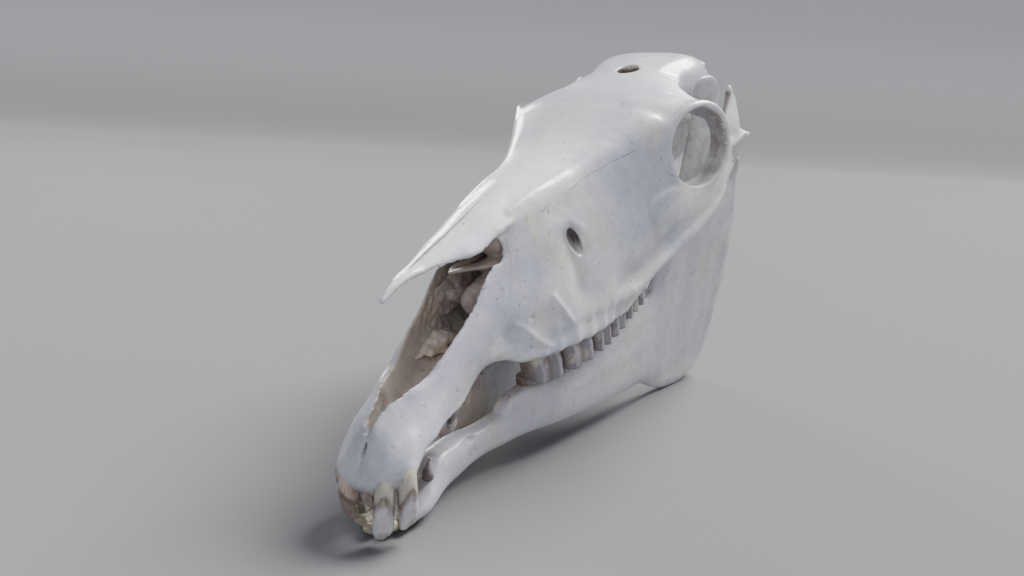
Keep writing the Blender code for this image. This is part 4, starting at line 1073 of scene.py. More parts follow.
def make_nose_scrolls():
    """The scrolled bones and the low ridge inside the nose, rough and partly broken."""
    solids = []
    # upper and lower scroll on each side, broken further back on the left
    for side in (1, -1):
        ahead = 0 if side < 0 else 34
        solids.append(tube([(10.5 * side, 130 + ahead, 84), (12.5 * side, 142 + ahead, 82),
                            (14 * side, 166 + ahead, 79), (15.5 * side, 205 + ahead * 0.5, 80),
                            (13 * side, 244, 90)],
                           [(1.6, 0.9), (3.6, 1.6), (5.5, 3.4), (7, 10), (7, 11)]))
        solids.append(tube([(20.5 * side, 106 + ahead, 54), (21 * side, 124 + ahead, 58),
                            (20.8 * side, 160 + ahead, 62), (18.5 * side, 212, 64), (15 * side, 248, 66)],
                           [(1.0, 6), (2.0, 12), (4.6, 16), (9, 18), (9, 16)]))
    # ledge across the top, then the rounded swelling under it
    solids.append(tube([(-7, 124, 84.5), (-4, 131, 84), (1, 141, 82.5), (6, 153, 80.5), (9, 180, 78)],
                       [(3, 1.2), (8, 1.6), (12, 2.2), (14, 4), (14, 7)], up=(-0.35, 0, 1)))
    solids.append(tube([(-7, 135, 50), (-3, 141, 53), (3, 152, 57), (8, 172, 61), (8, 200, 63)],
                       [(3, 7), (7, 12), (10, 15), (11, 17), (11, 17)]))
    # filling under the roof, and a small lobe on the right
    solids.append(tube([(3, 155, 97), (4, 160, 97), (5, 170, 96), (5, 205, 94)],
                       [(13, 7), (16, 12), (18, 15), (18, 15)]))
    solids.append(tube([(-17.5, 132, 62), (-15.5, 142, 57), (-15, 156, 51), (-16, 168, 47)],
                       [(1.2, 3), (3.0, 6.5), (3.2, 6.5), (2, 3)]))
    # two thin shelves on the right wall
    for shelf in ([(-24, 82, 34), (-20, 92, 36), (-14, 103, 34), (-8, 114, 29)],
                  [(-23, 98, 38), (-18, 108, 39), (-12, 118, 36), (-7, 128, 31)]):
        solids.append(tube(shelf, [(4, 1.2), (6.5, 2.0), (6.5, 2.2), (4, 1.0)], up=(0.5, 0, 1)))
    # low ridge along the middle of the floor
    solids.append(tube([(0, 58, 17), (0, 80, 23), (0, 120, 32), (0, 180, 38), (0, 240, 48)],
                       [(1.8, 3), (2.2, 6), (2.5, 8), (2.5, 12), (3, 14)]))
    scrolls = mesh_object("nose_scrolls", solids)
    fuse(scrolls, SCROLL_VOXEL)
    apply_modifier(scrolls, "SMOOTH", factor=0.5, iterations=3)
    points, normals = points_of(scrolls.data), normals_of(scrolls.data)
    smooth_patch = bump_at(np.column_stack([np.abs(points[:, 0]), points[:, 1], points[:, 2]]),
                           (12, 150, 53), (9, 15, 9))
    smooth_patch = np.maximum(smooth_patch, ease(points[:, 2], 76, 79) * ease(points[:, 1], 190, 178))
    smooth_patch = np.maximum(smooth_patch, bump_at(points, (-1, 143, 55), (11, 15, 17)))
    height = 1.4 * noise_at(points, 7.0, 5.0) + 1.1 * noise_at(points, 3.2, 9.0)
    height *= 1 - 0.8 * smooth_patch
    set_points(scrolls.data, points + normals * height[:, None])
    thin_out(scrolls, SCROLL_TRIANGLES)
    scrolls.data.validate()
    points = points_of(scrolls.data)
    cream = ease(points[:, 1], 136, 124) * ease(points[:, 2], 50, 44)
    ledge = np.maximum(bump_at(points, (-12, 150, 79), (9, 34, 6)),
                       ease(points[:, 2], 77, 80) * ease(points[:, 1], 185, 170))
    store(scrolls, "stain", 0.3 - 0.24 * cream - 0.02 * ledge)
    return scrolls


# ---------------------------------------------------------------- finishes
def add_node(tree, kind, inputs=None, **settings):
    """One shader node, its inputs given as values or as sockets to join."""
    node = tree.nodes.new(kind)
    for key, value in settings.items():
        setattr(node, key, value)
    for key, value in (inputs or {}).items():
        socket = node.inputs[key]
        if isinstance(value, bpy.types.NodeSocket):
            tree.links.new(value, socket)
        else:
            socket.default_value = value
    return node


def calc(tree, operation, first, second=None, third=None, clamp=False):
    """Sum, product or other arithmetic of sockets and numbers."""
    inputs = {0: first}
    if second is not None:
        inputs[1] = second
    if third is not None:
        inputs[2] = third
    return add_node(tree, "ShaderNodeMath", inputs, operation=operation, use_clamp=clamp).outputs[0]


def remap(tree, value, low, high, to_low=0.0, to_high=1.0):
    """Smooth step from to_low at low to to_high at high."""
    return add_node(tree, "ShaderNodeMapRange",
                    {"Value": value, "From Min": low, "From Max": high, "To Min": to_low,
                     "To Max": to_high}, interpolation_type="SMOOTHSTEP").outputs["Result"]


def blend_colour(tree, amount, first, second, kind="MIX"):
    """The first colour, changed towards the second by the amount."""
    node = tree.nodes.new("ShaderNodeMix")
    node.data_type = "RGBA"
    node.blend_type = kind
    for socket, value in ((node.inputs[0], amount), (node.inputs[6], first), (node.inputs[7], second)):
        if isinstance(value, bpy.types.NodeSocket):
            tree.links.new(value, socket)
        else:
            socket.default_value = value if isinstance(value, float) else (*value, 1.0)[:4]
    return node.outputs[2]


def cloud(tree, place, size, detail=3.0, roughness=0.55, distortion=0.0):
    """Noise whose lumps are about size metres."""
    return add_node(tree, "ShaderNodeTexNoise",
                    {"Vector": place, "Scale": 1.0 / size, "Detail": detail, "Roughness": roughness,
                     "Distortion": distortion}).outputs["Fac"]


def moved(tree, place, by):
    """The place shifted by a fixed amount, so that two patterns do not fall together."""
    return add_node(tree, "ShaderNodeMapping", {"Vector": place, "Location": by}).outputs[0]


def ragged_place(tree, place, scale, detail, amount):
    """The place pushed about by noise, so that cells and cracks are uneven."""
    push = add_node(tree, "ShaderNodeTexNoise", {"Vector": place, "Scale": scale, "Detail": detail})
    push = add_node(tree, "ShaderNodeVectorMath", {0: push.outputs["Color"], 3: amount}, operation="SCALE")
    return add_node(tree, "ShaderNodeVectorMath", {0: place, 1: push.outputs[0]}, operation="ADD").outputs[0]


def finish_group(name, inputs, outputs):
    """Empty shader group with named inputs and outputs."""
    tree = bpy.data.node_groups.new(name, "ShaderNodeTree")
    for label, kind, value in inputs:
        socket = tree.interface.new_socket(label, in_out="INPUT", socket_type=kind)
        socket.default_value = value
    for label, kind in outputs:
        tree.interface.new_socket(label, in_out="OUTPUT", socket_type=kind)
    return tree, tree.nodes.new("NodeGroupInput"), tree.nodes.new("NodeGroupOutput")


COLOUR, NUMBER = "NodeSocketColor", "NodeSocketFloat"
# painted shade colour for the sides and the front of the snout
PAINTED_SHADE_GREY = (0.4, 0.415, 0.475)
NOSE_SAND = (0.68, 0.57, 0.47)
# dirt colour that is also painted shade where the bone is closed in
LIGHT_GRIME_AND_SHADE = (0.42, 0.35, 0.27)
EARTH_BROWN = (0.21, 0.165, 0.135)
DARK_EARTH = (0.115, 0.085, 0.068)
GREY_EARTH = (0.17, 0.15, 0.135)
CRACK_BROWN = (0.2, 0.17, 0.16)
# dirt colour of the teeth, also painted shade where they are closed in
TOOTH_GRIME_AND_SHADE = (0.11, 0.075, 0.06)
# painted highlight colour on the ridges of the grinding teeth
RIDGE_HIGHLIGHT = (0.56, 0.54, 0.6)
WORN_DENTINE = (0.33, 0.27, 0.2)


def dry_bone_group():
    """Surface of old dry bone: pale patches, grain, pores, cracks, dirt, painted shade and brown stains."""
    tree, given, result = finish_group(
        "dry_bone",
        [("Recess", NUMBER, 0.0), ("Stain", NUMBER, 0.0), ("Tone", NUMBER, 0.0), ("Seam", NUMBER, 0.0),
         ("Pale", COLOUR, (0.8, 0.8, 0.8, 1)), ("Cool", COLOUR, (0.7, 0.7, 0.76, 1)),
         # the last colour is for deep dirt and painted shade in closed-in places
         ("Warm", COLOUR, (0.74, 0.71, 0.6, 1)), ("Grime And Shade", COLOUR, (0.12, 0.08, 0.055, 1)),
         ("Pores", NUMBER, 1.0)],
        [("Base Color", COLOUR), ("Roughness", NUMBER), ("Height", NUMBER)])
    place = add_node(tree, "ShaderNodeTexCoord").outputs["Object"]
    # pale, cool and warm patches, then the painted blue-grey shade and sandy colour of the tone stored on the
    # mesh, then mottle and grain
    broad = cloud(tree, place, 0.085, 2.0, 0.5, 0.4)
    patch = cloud(tree, moved(tree, place, (3, 1, 7)), 0.06, 4.0, 0.6, 0.8)
    mottle = cloud(tree, place, 0.009, 5.0, 0.62)
    grain = cloud(tree, place, 0.0022, 4.0, 0.65)
    colour = blend_colour(tree, remap(tree, broad, 0.4, 0.58), given.outputs["Pale"],
                          given.outputs["Cool"])
    colour = blend_colour(tree, remap(tree, patch, 0.5, 0.68, 0.0, 0.75), colour,
                          given.outputs["Warm"])
    # painted blue-grey shade where the tone is above 0
    painted_shade_share = calc(tree, "MULTIPLY", given.outputs["Tone"], remap(tree, patch, 0.35, 0.65, 1.15, 0.75),
                 clamp=True)
    colour = blend_colour(tree, painted_shade_share, colour, PAINTED_SHADE_GREY)
    sandy = calc(tree, "MULTIPLY", given.outputs["Tone"], remap(tree, patch, 0.35, 0.65, -0.8, -1.1),
                 clamp=True)
    colour = blend_colour(tree, sandy, colour, NOSE_SAND)
    shade = calc(tree, "MULTIPLY", remap(tree, mottle, 0.3, 0.75, 1.06, 0.9),
                 remap(tree, grain, 0.3, 0.75, 1.03, 0.93))
    colour = blend_colour(tree, 1.0, colour, add_node(tree, "ShaderNodeCombineColor",
                          {0: shade, 1: shade, 2: shade}).outputs[0], "MULTIPLY")
    # dark pores and short scratches
    ragged = ragged_place(tree, place, 500.0, 2.0, 0.003)
    cells = add_node(tree, "ShaderNodeTexVoronoi", {"Vector": ragged, "Scale": 170.0, "Randomness": 1.0})
    chance = add_node(tree, "ShaderNodeSeparateXYZ", {0: cells.outputs["Color"]}).outputs[0]
    pores = calc(tree, "SUBTRACT", cells.outputs["Distance"], remap(tree, chance, 0.5, 1.0, -0.04, 0.24))
    where = cloud(tree, moved(tree, place, (9, 4, 2)), 0.03, 3.0, 0.6)
    speck = calc(tree, "MULTIPLY", remap(tree, pores, 0.04, -0.06), remap(tree, where, 0.38, 0.54))
    fleck = cloud(tree, moved(tree, place, (5, 2, 8)), 0.0045, 3.0, 0.6, 0.8)
    fleck = calc(tree, "MULTIPLY", remap(tree, fleck, 0.63, 0.7), remap(tree, where, 0.38, 0.56))
    speck = calc(tree, "MAXIMUM", speck, calc(tree, "MULTIPLY", fleck, 0.6))
    speck = calc(tree, "MULTIPLY", speck, given.outputs["Pores"], clamp=True)
    # a few thin cracks
    warped = ragged_place(tree, place, 60.0, 3.0, 0.012)
    crack = add_node(tree, "ShaderNodeTexVoronoi", {"Vector": warped, "Scale": 17.0},
                     feature="DISTANCE_TO_EDGE").outputs["Distance"]
    crack = calc(tree, "MULTIPLY", remap(tree, crack, 0.011, 0.003), remap(tree, where, 0.5, 0.62))
    crack = calc(tree, "MULTIPLY", crack, 0.12)
    # dirt and painted shade gather in what is closed in
    dirt_and_shade = calc(tree, "ADD", given.outputs["Recess"], remap(tree, mottle, 0.35, 0.7, -0.09, 0.09))
    dirt_and_shade = calc(tree, "ADD", dirt_and_shade, remap(tree, patch, 0.4, 0.7, -0.05, 0.07))
    light_grime_and_shade = remap(tree, dirt_and_shade, 0.38, 0.62, 0.0, 0.45)
    deep_grime_and_shade = remap(tree, dirt_and_shade, 0.6, 0.95, 0.0, 0.8)
    colour = blend_colour(tree, light_grime_and_shade, colour, LIGHT_GRIME_AND_SHADE)
    # brown stains in three shades of earth; the stain also holds painted shade in some hollows and openings
    stained = calc(tree, "ADD", given.outputs["Stain"], calc(tree, "MULTIPLY", given.outputs["Stain"],
                   remap(tree, mottle, 0.3, 0.7, -0.2, 0.2)))
    brown = blend_colour(tree, remap(tree, grain, 0.35, 0.7), EARTH_BROWN, DARK_EARTH)
    brown = blend_colour(tree, remap(tree, patch, 0.4, 0.6), brown, GREY_EARTH)
    colour = blend_colour(tree, calc(tree, "MULTIPLY", stained, 0.95, clamp=True), colour, brown)
    # deep dirt and painted shade where the bone is most closed in
    colour = blend_colour(tree, deep_grime_and_shade, colour, given.outputs["Grime And Shade"])
    marks = calc(tree, "MAXIMUM", calc(tree, "MULTIPLY", speck, 0.6), crack)
    marks = calc(tree, "MAXIMUM", marks, given.outputs["Seam"], clamp=True)
    colour = blend_colour(tree, marks, colour, CRACK_BROWN)
    rough = calc(tree, "ADD", remap(tree, mottle, 0.3, 0.7, 0.3, 0.42),
                 calc(tree, "MULTIPLY", deep_grime_and_shade, 0.35))
    rough = calc(tree, "ADD", rough, calc(tree, "MULTIPLY", marks, 0.3), clamp=True)
    height = calc(tree, "ADD", calc(tree, "MULTIPLY", grain, 0.25), calc(tree, "MULTIPLY", mottle, 0.9))
    height = calc(tree, "SUBTRACT", height, calc(tree, "MULTIPLY", marks, 0.9))
    height = calc(tree, "ADD", height, calc(tree, "MULTIPLY", calc(tree, "MULTIPLY", deep_grime_and_shade, grain), 1.2))
    tree.links.new(colour, result.inputs["Base Color"])
    tree.links.new(rough, result.inputs["Roughness"])
    tree.links.new(height, result.inputs["Height"])
    return tree


def line_on(tree, place, run, rise, points, width, wobble, wobble_size=0.006):
    """Mask of a thin uneven line: rise as a curve of run, both axes of the object's coordinates."""
    split = add_node(tree, "ShaderNodeSeparateXYZ", {0: place})
    along_run, along_rise = split.outputs[run], split.outputs[rise]
    points = sorted(points)
    u0, u1 = points[0][0], points[-1][0]
    v0, v1 = min(p[1] for p in points), max(p[1] for p in points)
    t = add_node(tree, "ShaderNodeMapRange", {"Value": along_run, "From Min": u0, "From Max": u1}
                 ).outputs["Result"]
    curve = tree.nodes.new("ShaderNodeFloatCurve")
    handles = curve.mapping.curves[0].points
    spots = [((u - u0) / (u1 - u0), (v - v0) / max(v1 - v0, 1e-9)) for u, v in points]
    handles[0].location, handles[1].location = spots[0], spots[-1]
    for spot in spots[1:-1]:
        handles.new(*spot)
    curve.mapping.update()
    tree.links.new(t, curve.inputs["Value"])
    level = calc(tree, "MULTIPLY_ADD", curve.outputs[0], v1 - v0, v0)
    jitter = calc(tree, "MULTIPLY", calc(tree, "SUBTRACT", cloud(tree, place, wobble_size, 4.0, 0.6), 0.5),
                  wobble)
    gap = calc(tree, "ABSOLUTE", calc(tree, "ADD", calc(tree, "SUBTRACT", along_rise, level), jitter))
    line = remap(tree, gap, width, width * 0.35)
    ends = calc(tree, "MULTIPLY", remap(tree, along_run, u0, u0 + 0.01),
                remap(tree, along_run, u1, u1 - 0.01))
    return calc(tree, "MULTIPLY", line, ends)


def rest_spots(points):
    """Skull places in millimetres to object coordinates."""
    return [REST @ (Vector(point) * MM) for point in points]


def bone_material(name, colours, group, seams=None, coat=0.3):
    """Glossy dry bone in its own colours, with the stains, dirt and painted shade stored on the mesh."""
    material = bpy.data.materials.new(name)
    material.use_nodes = True
    tree = material.node_tree
    shader = tree.nodes["Principled BSDF"]
    inputs = {"Pores": 1.0, **colours}
    for name_in_group in ("Recess", "Stain", "Tone"):
        inputs[name_in_group] = add_node(tree, "ShaderNodeAttribute",
                                         attribute_name=name_in_group.lower()).outputs["Fac"]
    if seams:
        inputs["Seam"] = seams(tree)
    made = add_node(tree, "ShaderNodeGroup", node_tree=group)
    for key, value in inputs.items():
        if isinstance(value, bpy.types.NodeSocket):
            tree.links.new(value, made.inputs[key])
        else:
            made.inputs[key].default_value = value
    tree.links.new(made.outputs["Base Color"], shader.inputs["Base Color"])
    tree.links.new(made.outputs["Roughness"], shader.inputs["Roughness"])
    bump = add_node(tree, "ShaderNodeBump", {"Height": made.outputs["Height"], "Strength": 0.35,
                                             "Distance": 0.0009})
    tree.links.new(bump.outputs[0], shader.inputs["Normal"])
    shader.inputs["Coat Weight"].default_value = coat
    shader.inputs["Coat Roughness"].default_value = 0.16
    shader.inputs["IOR"].default_value = 1.5
    return material


BROW_SEAM = [(30, 182, 107), (33, 196, 111), (38, 219, 114), (46, 240, 118), (55, 258, 121),
             (62, 276, 124), (70, 300, 128)]
NOSE_SEAM = [(25, 152, 112), (25, 154, 100), (28, 152, 88), (30, 148, 76), (30, 138, 60),
             (30, 128, 46), (29, 117, 34), (26, 108, 22)]


def cranium_seams(tree):
    """Fine dark lines where the bones of the snout and the brow join."""
    place = add_node(tree, "ShaderNodeTexCoord").outputs["Object"]
    split = add_node(tree, "ShaderNodeSeparateXYZ", {0: place})
    off_centre = calc(tree, "ABSOLUTE", calc(tree, "SUBTRACT", split.outputs[0], -REST_CENTRE.x * MM))
    outside = remap(tree, off_centre, 0.016, 0.024)
    brow = [(spot.y, spot.z) for spot in rest_spots(BROW_SEAM)]
    nose = [(spot.z, spot.y) for spot in rest_spots(NOSE_SEAM)]
    faint = remap(tree, cloud(tree, place, 0.012, 3.0, 0.6), 0.35, 0.6, 0.15, 1.0)
    lines = calc(tree, "MULTIPLY", line_on(tree, place, 1, 2, brow, 0.0008, 0.006), 0.6)
    lines = calc(tree, "MAXIMUM", lines, calc(tree, "MULTIPLY", line_on(
        tree, place, 2, 1, nose, 0.0008, 0.005), 0.25))
    lines = calc(tree, "MULTIPLY", calc(tree, "MULTIPLY", lines, outside), faint)
    # the middle seam of the nasal bones, widest at their tips
    sway = calc(tree, "MULTIPLY", calc(tree, "SUBTRACT", cloud(tree, place, 0.01, 4.0, 0.6), 0.5), 0.004)
    width = remap(tree, split.outputs[1], -0.2, -0.11, 0.0016, 0.0005)
    middle = add_node(tree, "ShaderNodeMapRange", {
        "Value": calc(tree, "ABSOLUTE", calc(tree, "ADD", calc(tree, "SUBTRACT", split.outputs[0],
                                                               -REST_CENTRE.x * MM), sway)),
        "From Min": width, "From Max": calc(tree, "MULTIPLY", width, 0.3), "To Min": 0.0, "To Max": 1.0},
        interpolation_type="SMOOTHSTEP").outputs["Result"]
    upper = remap(tree, split.outputs[2], 0.125, 0.135)
    middle = calc(tree, "MULTIPLY", calc(tree, "MULTIPLY", middle, upper),
                  remap(tree, split.outputs[1], -0.07, -0.15, 0.12, 0.9))
    return calc(tree, "MAXIMUM", lines, middle)


def tooth_material(name, enamel, stain, root, lobed, coat=0.35):
    """Worn old enamel over a paler root, with brown streaks, a dark stain line, painted shade in furrows and
    between teeth, and painted highlights on ridges.
    """
    material = bpy.data.materials.new(name)
    material.use_nodes = True
    tree = material.node_tree
    shader = tree.nodes["Principled BSDF"]
    place = add_node(tree, "ShaderNodeTexCoord").outputs["Object"]
    crown = add_node(tree, "ShaderNodeAttribute", attribute_name="crown").outputs["Fac"]
    recess = add_node(tree, "ShaderNodeAttribute", attribute_name="recess").outputs["Fac"]
    streak = add_node(tree, "ShaderNodeMapping", {"Vector": place, "Scale": (1.0, 1.0, 0.25)}).outputs[0]
    lines = cloud(tree, streak, 0.0022, 4.0, 0.6, 0.5)
    patch = cloud(tree, place, 0.006, 4.0, 0.6, 0.4)
    # enamel from start, a share of the tooth's length, to the tip, and a dark line where it starts
    start = 0.25 if lobed else 0.56
    level = calc(tree, "ADD", crown, remap(tree, patch, 0.3, 0.7, -0.03, 0.03))
    ring = calc(tree, "MULTIPLY", remap(tree, level, start - 0.04, start + 0.015),
                remap(tree, level, start + 0.2, start + 0.05))
    ring = calc(tree, "MULTIPLY", ring, remap(tree, lines, 0.35, 0.6, 0.7, 1.0))
    colour = blend_colour(tree, remap(tree, level, start, start + 0.06), root, enamel)
    colour = blend_colour(tree, calc(tree, "MULTIPLY", ring, 0.0 if lobed else 0.85), colour, stain)
    if lobed:
        colour = blend_colour(tree, remap(tree, cloud(tree, place, 0.014, 3.0), 0.48, 0.6, 0.0, 0.6), colour,
                              root)
    colour = blend_colour(tree, remap(tree, lines, 0.52, 0.7, 0.0, 0.5), colour, stain)
    # dirt and painted shade where the tooth is closed in
    grime_and_shade = calc(tree, "ADD", recess, remap(tree, patch, 0.35, 0.7, -0.1, 0.1))
    colour = blend_colour(tree, remap(tree, grime_and_shade, 0.45, 0.85, 0.0, 0.9), colour, TOOTH_GRIME_AND_SHADE)
    # brown painted shade in the furrows, at the sides and between the teeth, painted highlights on the
    # ridges, and a brown worn end
    lobe = add_node(tree, "ShaderNodeAttribute", attribute_name="lobe").outputs["Fac"]
    colour = blend_colour(tree, remap(tree, lobe, 0.7, 0.05, 0.0, 0.8), colour, stain)
    if lobed:
        ridge = calc(tree, "MULTIPLY", remap(tree, lobe, 0.86, 1.0),
                     remap(tree, lines, 0.35, 0.6, 0.05, 0.55))
        colour = blend_colour(tree, ridge, colour, RIDGE_HIGHLIGHT)
    worn = remap(tree, crown, 0.985, 1.0)
    colour = blend_colour(tree, calc(tree, "MULTIPLY", worn, 0.55), colour, WORN_DENTINE)
    tree.links.new(colour, shader.inputs["Base Color"])
    tree.links.new(remap(tree, patch, 0.3, 0.7, 0.2, 0.36), shader.inputs["Roughness"])
    height = calc(tree, "ADD", calc(tree, "MULTIPLY", lines, 0.8), calc(tree, "MULTIPLY", patch, 0.6))
    bump = add_node(tree, "ShaderNodeBump", {"Height": height, "Strength": 0.4, "Distance": 0.0007})
    tree.links.new(bump.outputs[0], shader.inputs["Normal"])
    shader.inputs["Coat Weight"].default_value = coat
    shader.inputs["Coat Roughness"].default_value = 0.12
    shader.inputs["IOR"].default_value = 1.6
    return material


# ---------------------------------------------------------------- how closed in each place is
def coarse_copy(bone):
    """Light copy of a bone, for the rays that look for closed-in places."""
    copy = bone.copy()
    copy.data = bone.data.copy()
    bpy.context.collection.objects.link(copy)
    thin_out(copy, COARSE_TRIANGLES)
    return copy


def store_bone_recess(bone, own_copy, other_copy):
    """Dirt and painted shade of a bone: less in the lit nose and jaw, all of it in the hole of the forehead.
    """
    places, shade = recess_shade(own_copy, [other_copy], BONE_RAYS, BONE_REACH)
    closed = spread_shade(bone, places, shade)
    points, normals = points_of(bone.data), normals_of(bone.data)
    if bone.name == "skull_cranium":
        closed *= 1 - 0.7 * nose_lining(points, normals)
        dome = ease(points[:, 1], 405, 430) * ease(points[:, 2], 118, 130)
        closed *= 1 - 0.3 * dome
        closed = np.maximum(closed, 0.98 * forehead_hole(points))
    else:
        closed *= 1 - 0.75 * np.clip(-mandible_tone(points, normals), 0, 1)
    store(bone, "recess", closed)


def store_piece_recess(piece, bone_copies):
    """Rays for a small piece, one middling value for a large one."""
    if len(piece.data.vertices) < SMALL_PIECE_POINTS:
        shade = recess_shade(piece, bone_copies, PIECE_RAYS, PIECE_REACH)[1]
    else:
        shade = np.full(len(piece.data.vertices), MIDDLING_RECESS)
    store(piece, "recess", shade)


# ---------------------------------------------------------------- building the skull
cranium = make_cranium()
mandible = make_mandible()
teeth = make_teeth()
scrolls = make_nose_scrolls()
tooth_pieces = [tooth for group in teeth.values() for tooth in group]

coarse = {bone.name: coarse_copy(bone) for bone in (cranium, mandible)}
for bone, other in ((cranium, mandible), (mandible, cranium)):
    store_bone_recess(bone, coarse[bone.name], coarse[other.name])
for piece in tooth_pieces + [scrolls]:
    store_piece_recess(piece, list(coarse.values()))
for copy in coarse.values():
    bpy.data.objects.remove(copy)

bone_group = dry_bone_group()
# each bone's last colour is for dirt and painted shade in its closed-in places
cranium_bone = bone_material(
    "cranium_bone", {"Pale": (0.86, 0.86, 0.865, 1), "Cool": (0.655, 0.65, 0.78, 1),
                     "Warm": (0.78, 0.765, 0.65, 1), "Grime And Shade": (0.17, 0.13, 0.105, 1)},
    bone_group, cranium_seams, coat=0.6)
# the lower jaw's colours are a darker copy of the cranium's: painted shade on the whole jaw
mandible_bone = bone_material(
    "mandible_bone", {"Pale": (0.70, 0.69, 0.71, 1), "Cool": (0.60, 0.59, 0.67, 1),
                      "Warm": (0.60, 0.58, 0.49, 1), "Grime And Shade": (0.14, 0.1, 0.075, 1)},
    bone_group)
finishes = {
    "upper_grinders": tooth_material("upper_grinder_enamel", (0.2, 0.18, 0.22), (0.1, 0.065, 0.05),
                                     (0.5, 0.45, 0.38), True, coat=1.0),
    "lower_grinders": tooth_material("lower_grinder_enamel", (0.22, 0.17, 0.14), (0.1, 0.07, 0.05),
                                     (0.3, 0.24, 0.18), True),
    "upper_front": tooth_material("upper_front_enamel", (0.58, 0.56, 0.62), (0.14, 0.085, 0.06),
                                  (0.42, 0.4, 0.34), False),
    "lower_front": tooth_material("lower_front_enamel", (0.5, 0.49, 0.38), (0.2, 0.15, 0.09),
                                  (0.4, 0.35, 0.26), False),
    "worn_front": tooth_material("worn_front_enamel", (0.27, 0.215, 0.2), (0.13, 0.08, 0.065),
                                 (0.5, 0.39, 0.33), False),
    "canines": tooth_material("canine_enamel", (0.42, 0.4, 0.41), (0.11, 0.075, 0.07),
                              (0.13, 0.095, 0.095), False),
}
for bone, finish in ((cranium, cranium_bone), (mandible, mandible_bone)):
    bone.data.materials.clear()
    bone.data.materials.append(finish)
    bone.data.polygons.foreach_set("material_index", [0] * len(bone.data.polygons))
scrolls.data.materials.append(bone_material(
    "nose_scroll_bone", {"Pale": (0.76, 0.66, 0.57, 1), "Cool": (0.62, 0.53, 0.5, 1),
                         "Warm": (0.76, 0.63, 0.46, 1), "Grime And Shade": (0.24, 0.165, 0.12, 1)},
    bone_group, coat=0.08))
for group, members in teeth.items():
    for tooth in members:
        tooth.data.materials.append(finishes[group])

for piece in [cranium, mandible, scrolls] + tooth_pieces:
    lay_down(piece)
    # nothing dips below the table
    settled = points_of(piece.data)
    settled[:, 2] = np.maximum(settled[:, 2], 0.0)
    set_points(piece.data, settled)
    piece.data.polygons.foreach_set("use_smooth", [True] * len(piece.data.polygons))
    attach(piece, "root")
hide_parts("cranium")
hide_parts("mandible")

# ---------------------------------------------------------------- floor, light and camera
SWEEP_FRONT = -5.0
SWEEP_BEND = 9.0
SWEEP_RADIUS = 4.0
SWEEP_HALF_WIDTH = 16.0
SWEEP_FACING = math.radians(32)
SWEEP_STEPS = 32
FLOOR_GAP = 0.0002
FLOOR_PAPER = (0.176, 0.176, 0.183)
WALL_PAPER = (0.62, 0.62, 0.64)
PAPER_FADE = 2.2
PANELS = {"top_panel": ((0.19, 0.59, 0.76), 8.9, 32, (1.0, 1.0, 0.98)),
          "far_panel": ((-0.86, 0.5, 0.28), 3.0, 26, (0.98, 0.99, 1.0)),
          "front_panel": ((0.5, -0.85, 0.5), 0.85, 70, (0.97, 0.97, 1.0))}
AIR_COLOUR = (0.8, 0.83, 0.9, 1)
AIR_STRENGTH = 0.33
CAMERA_PLACE = (282.44521, -211.04693, 285.07342)
CAMERA_RIGHT = (0.84037775, 0.53224875, -0.10235482)
CAMERA_DOWN = (0.16062252, -0.42492851, -0.8908626)
CAMERA_AHEAD = (-0.51765398, 0.73222062, -0.4425916)
SENSOR_WIDTH = 36.0
FOCAL_PIXELS = 695.0
FRAME_PIXELS = 1024.0


def make_sweep():
    """Plain floor that curves up into a plain backdrop far behind."""
    profile = [(SWEEP_FRONT, 0.0), (SWEEP_BEND, 0.0)]
    profile += [(SWEEP_BEND + SWEEP_RADIUS * math.sin(turn), SWEEP_RADIUS * (1 - math.cos(turn)))
                for turn in np.linspace(0.04, math.pi / 2, SWEEP_STEPS)]
    points, faces = [], []
    for along_y, up in profile:
        for across in (-SWEEP_HALF_WIDTH, SWEEP_HALF_WIDTH):
            points.append((across * math.cos(SWEEP_FACING) - along_y * math.sin(SWEEP_FACING),
                           across * math.sin(SWEEP_FACING) + along_y * math.cos(SWEEP_FACING),
                           up - FLOOR_GAP))
    for i in range(len(profile) - 1):
        faces.append((2 * i, 2 * i + 1, 2 * i + 3, 2 * i + 2))
    mesh = bpy.data.meshes.new("studio_sweep")
    mesh.from_pydata(points, [], faces)
    mesh.polygons.foreach_set("use_smooth", [True] * len(mesh.polygons))
    sweep = bpy.data.objects.new("studio_sweep", mesh)
    bpy.context.collection.objects.link(sweep)
    mesh.materials.append(studio_paper())


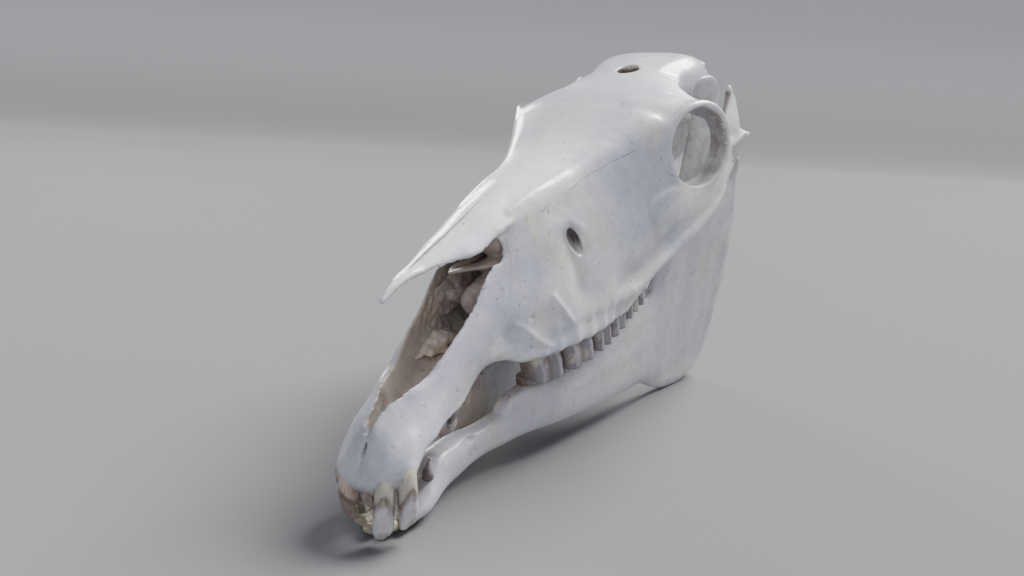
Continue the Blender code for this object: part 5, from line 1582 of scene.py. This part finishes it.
def studio_paper():
    """Grey paper that is lighter up the backdrop, where less light falls."""
    material = bpy.data.materials.new("studio_paper")
    material.use_nodes = True
    tree = material.node_tree
    shader = tree.nodes["Principled BSDF"]
    place = add_node(tree, "ShaderNodeTexCoord").outputs["Object"]
    rise = add_node(tree, "ShaderNodeSeparateXYZ", {0: place}).outputs[2]
    paper = blend_colour(tree, remap(tree, rise, 0.0, PAPER_FADE), FLOOR_PAPER, WALL_PAPER)
    tree.links.new(paper, shader.inputs["Base Color"])
    shader.inputs["Roughness"].default_value = 0.9
    shader.inputs["Specular IOR Level"].default_value = 0.2
    return material


def soft_light(name, towards, strength, spread, colour):
    """Even light from a wide round panel far away in the given direction."""
    lamp = bpy.data.lights.new(name, "SUN")
    lamp.energy = strength
    lamp.angle = math.radians(spread)
    lamp.color = colour
    holder = bpy.data.objects.new(name, lamp)
    bpy.context.collection.objects.link(holder)
    holder.rotation_mode = "QUATERNION"
    holder.rotation_quaternion = Vector(towards).to_track_quat("Z", "Y")


def studio_air():
    """Faint even light from all round."""
    world = bpy.data.worlds.new("studio_air")
    bpy.context.scene.world = world
    world.use_nodes = True
    background = world.node_tree.nodes["Background"]
    background.inputs["Color"].default_value = AIR_COLOUR
    background.inputs["Strength"].default_value = AIR_STRENGTH


def photo_camera():
    """The photo's viewing angle, in the skull's own axes, laid down with the skull."""
    camera_data = bpy.data.cameras.new("photo_camera")
    camera = bpy.data.objects.new("photo_camera", camera_data)
    bpy.context.collection.objects.link(camera)
    pose = Matrix.Identity(4)
    for row in range(3):
        pose[row][0], pose[row][1], pose[row][2] = (CAMERA_RIGHT[row], -CAMERA_DOWN[row],
                                                    -CAMERA_AHEAD[row])
        pose[row][3] = CAMERA_PLACE[row] * MM
    camera.matrix_world = REST @ pose
    camera_data.sensor_width = SENSOR_WIDTH
    camera_data.lens = FOCAL_PIXELS / FRAME_PIXELS * SENSOR_WIDTH
    camera_data.clip_start = 0.01
    bpy.context.scene.camera = camera


make_sweep()
for panel, (towards, strength, spread, colour) in PANELS.items():
    soft_light(panel, towards, strength, spread, colour)
studio_air()
photo_camera()
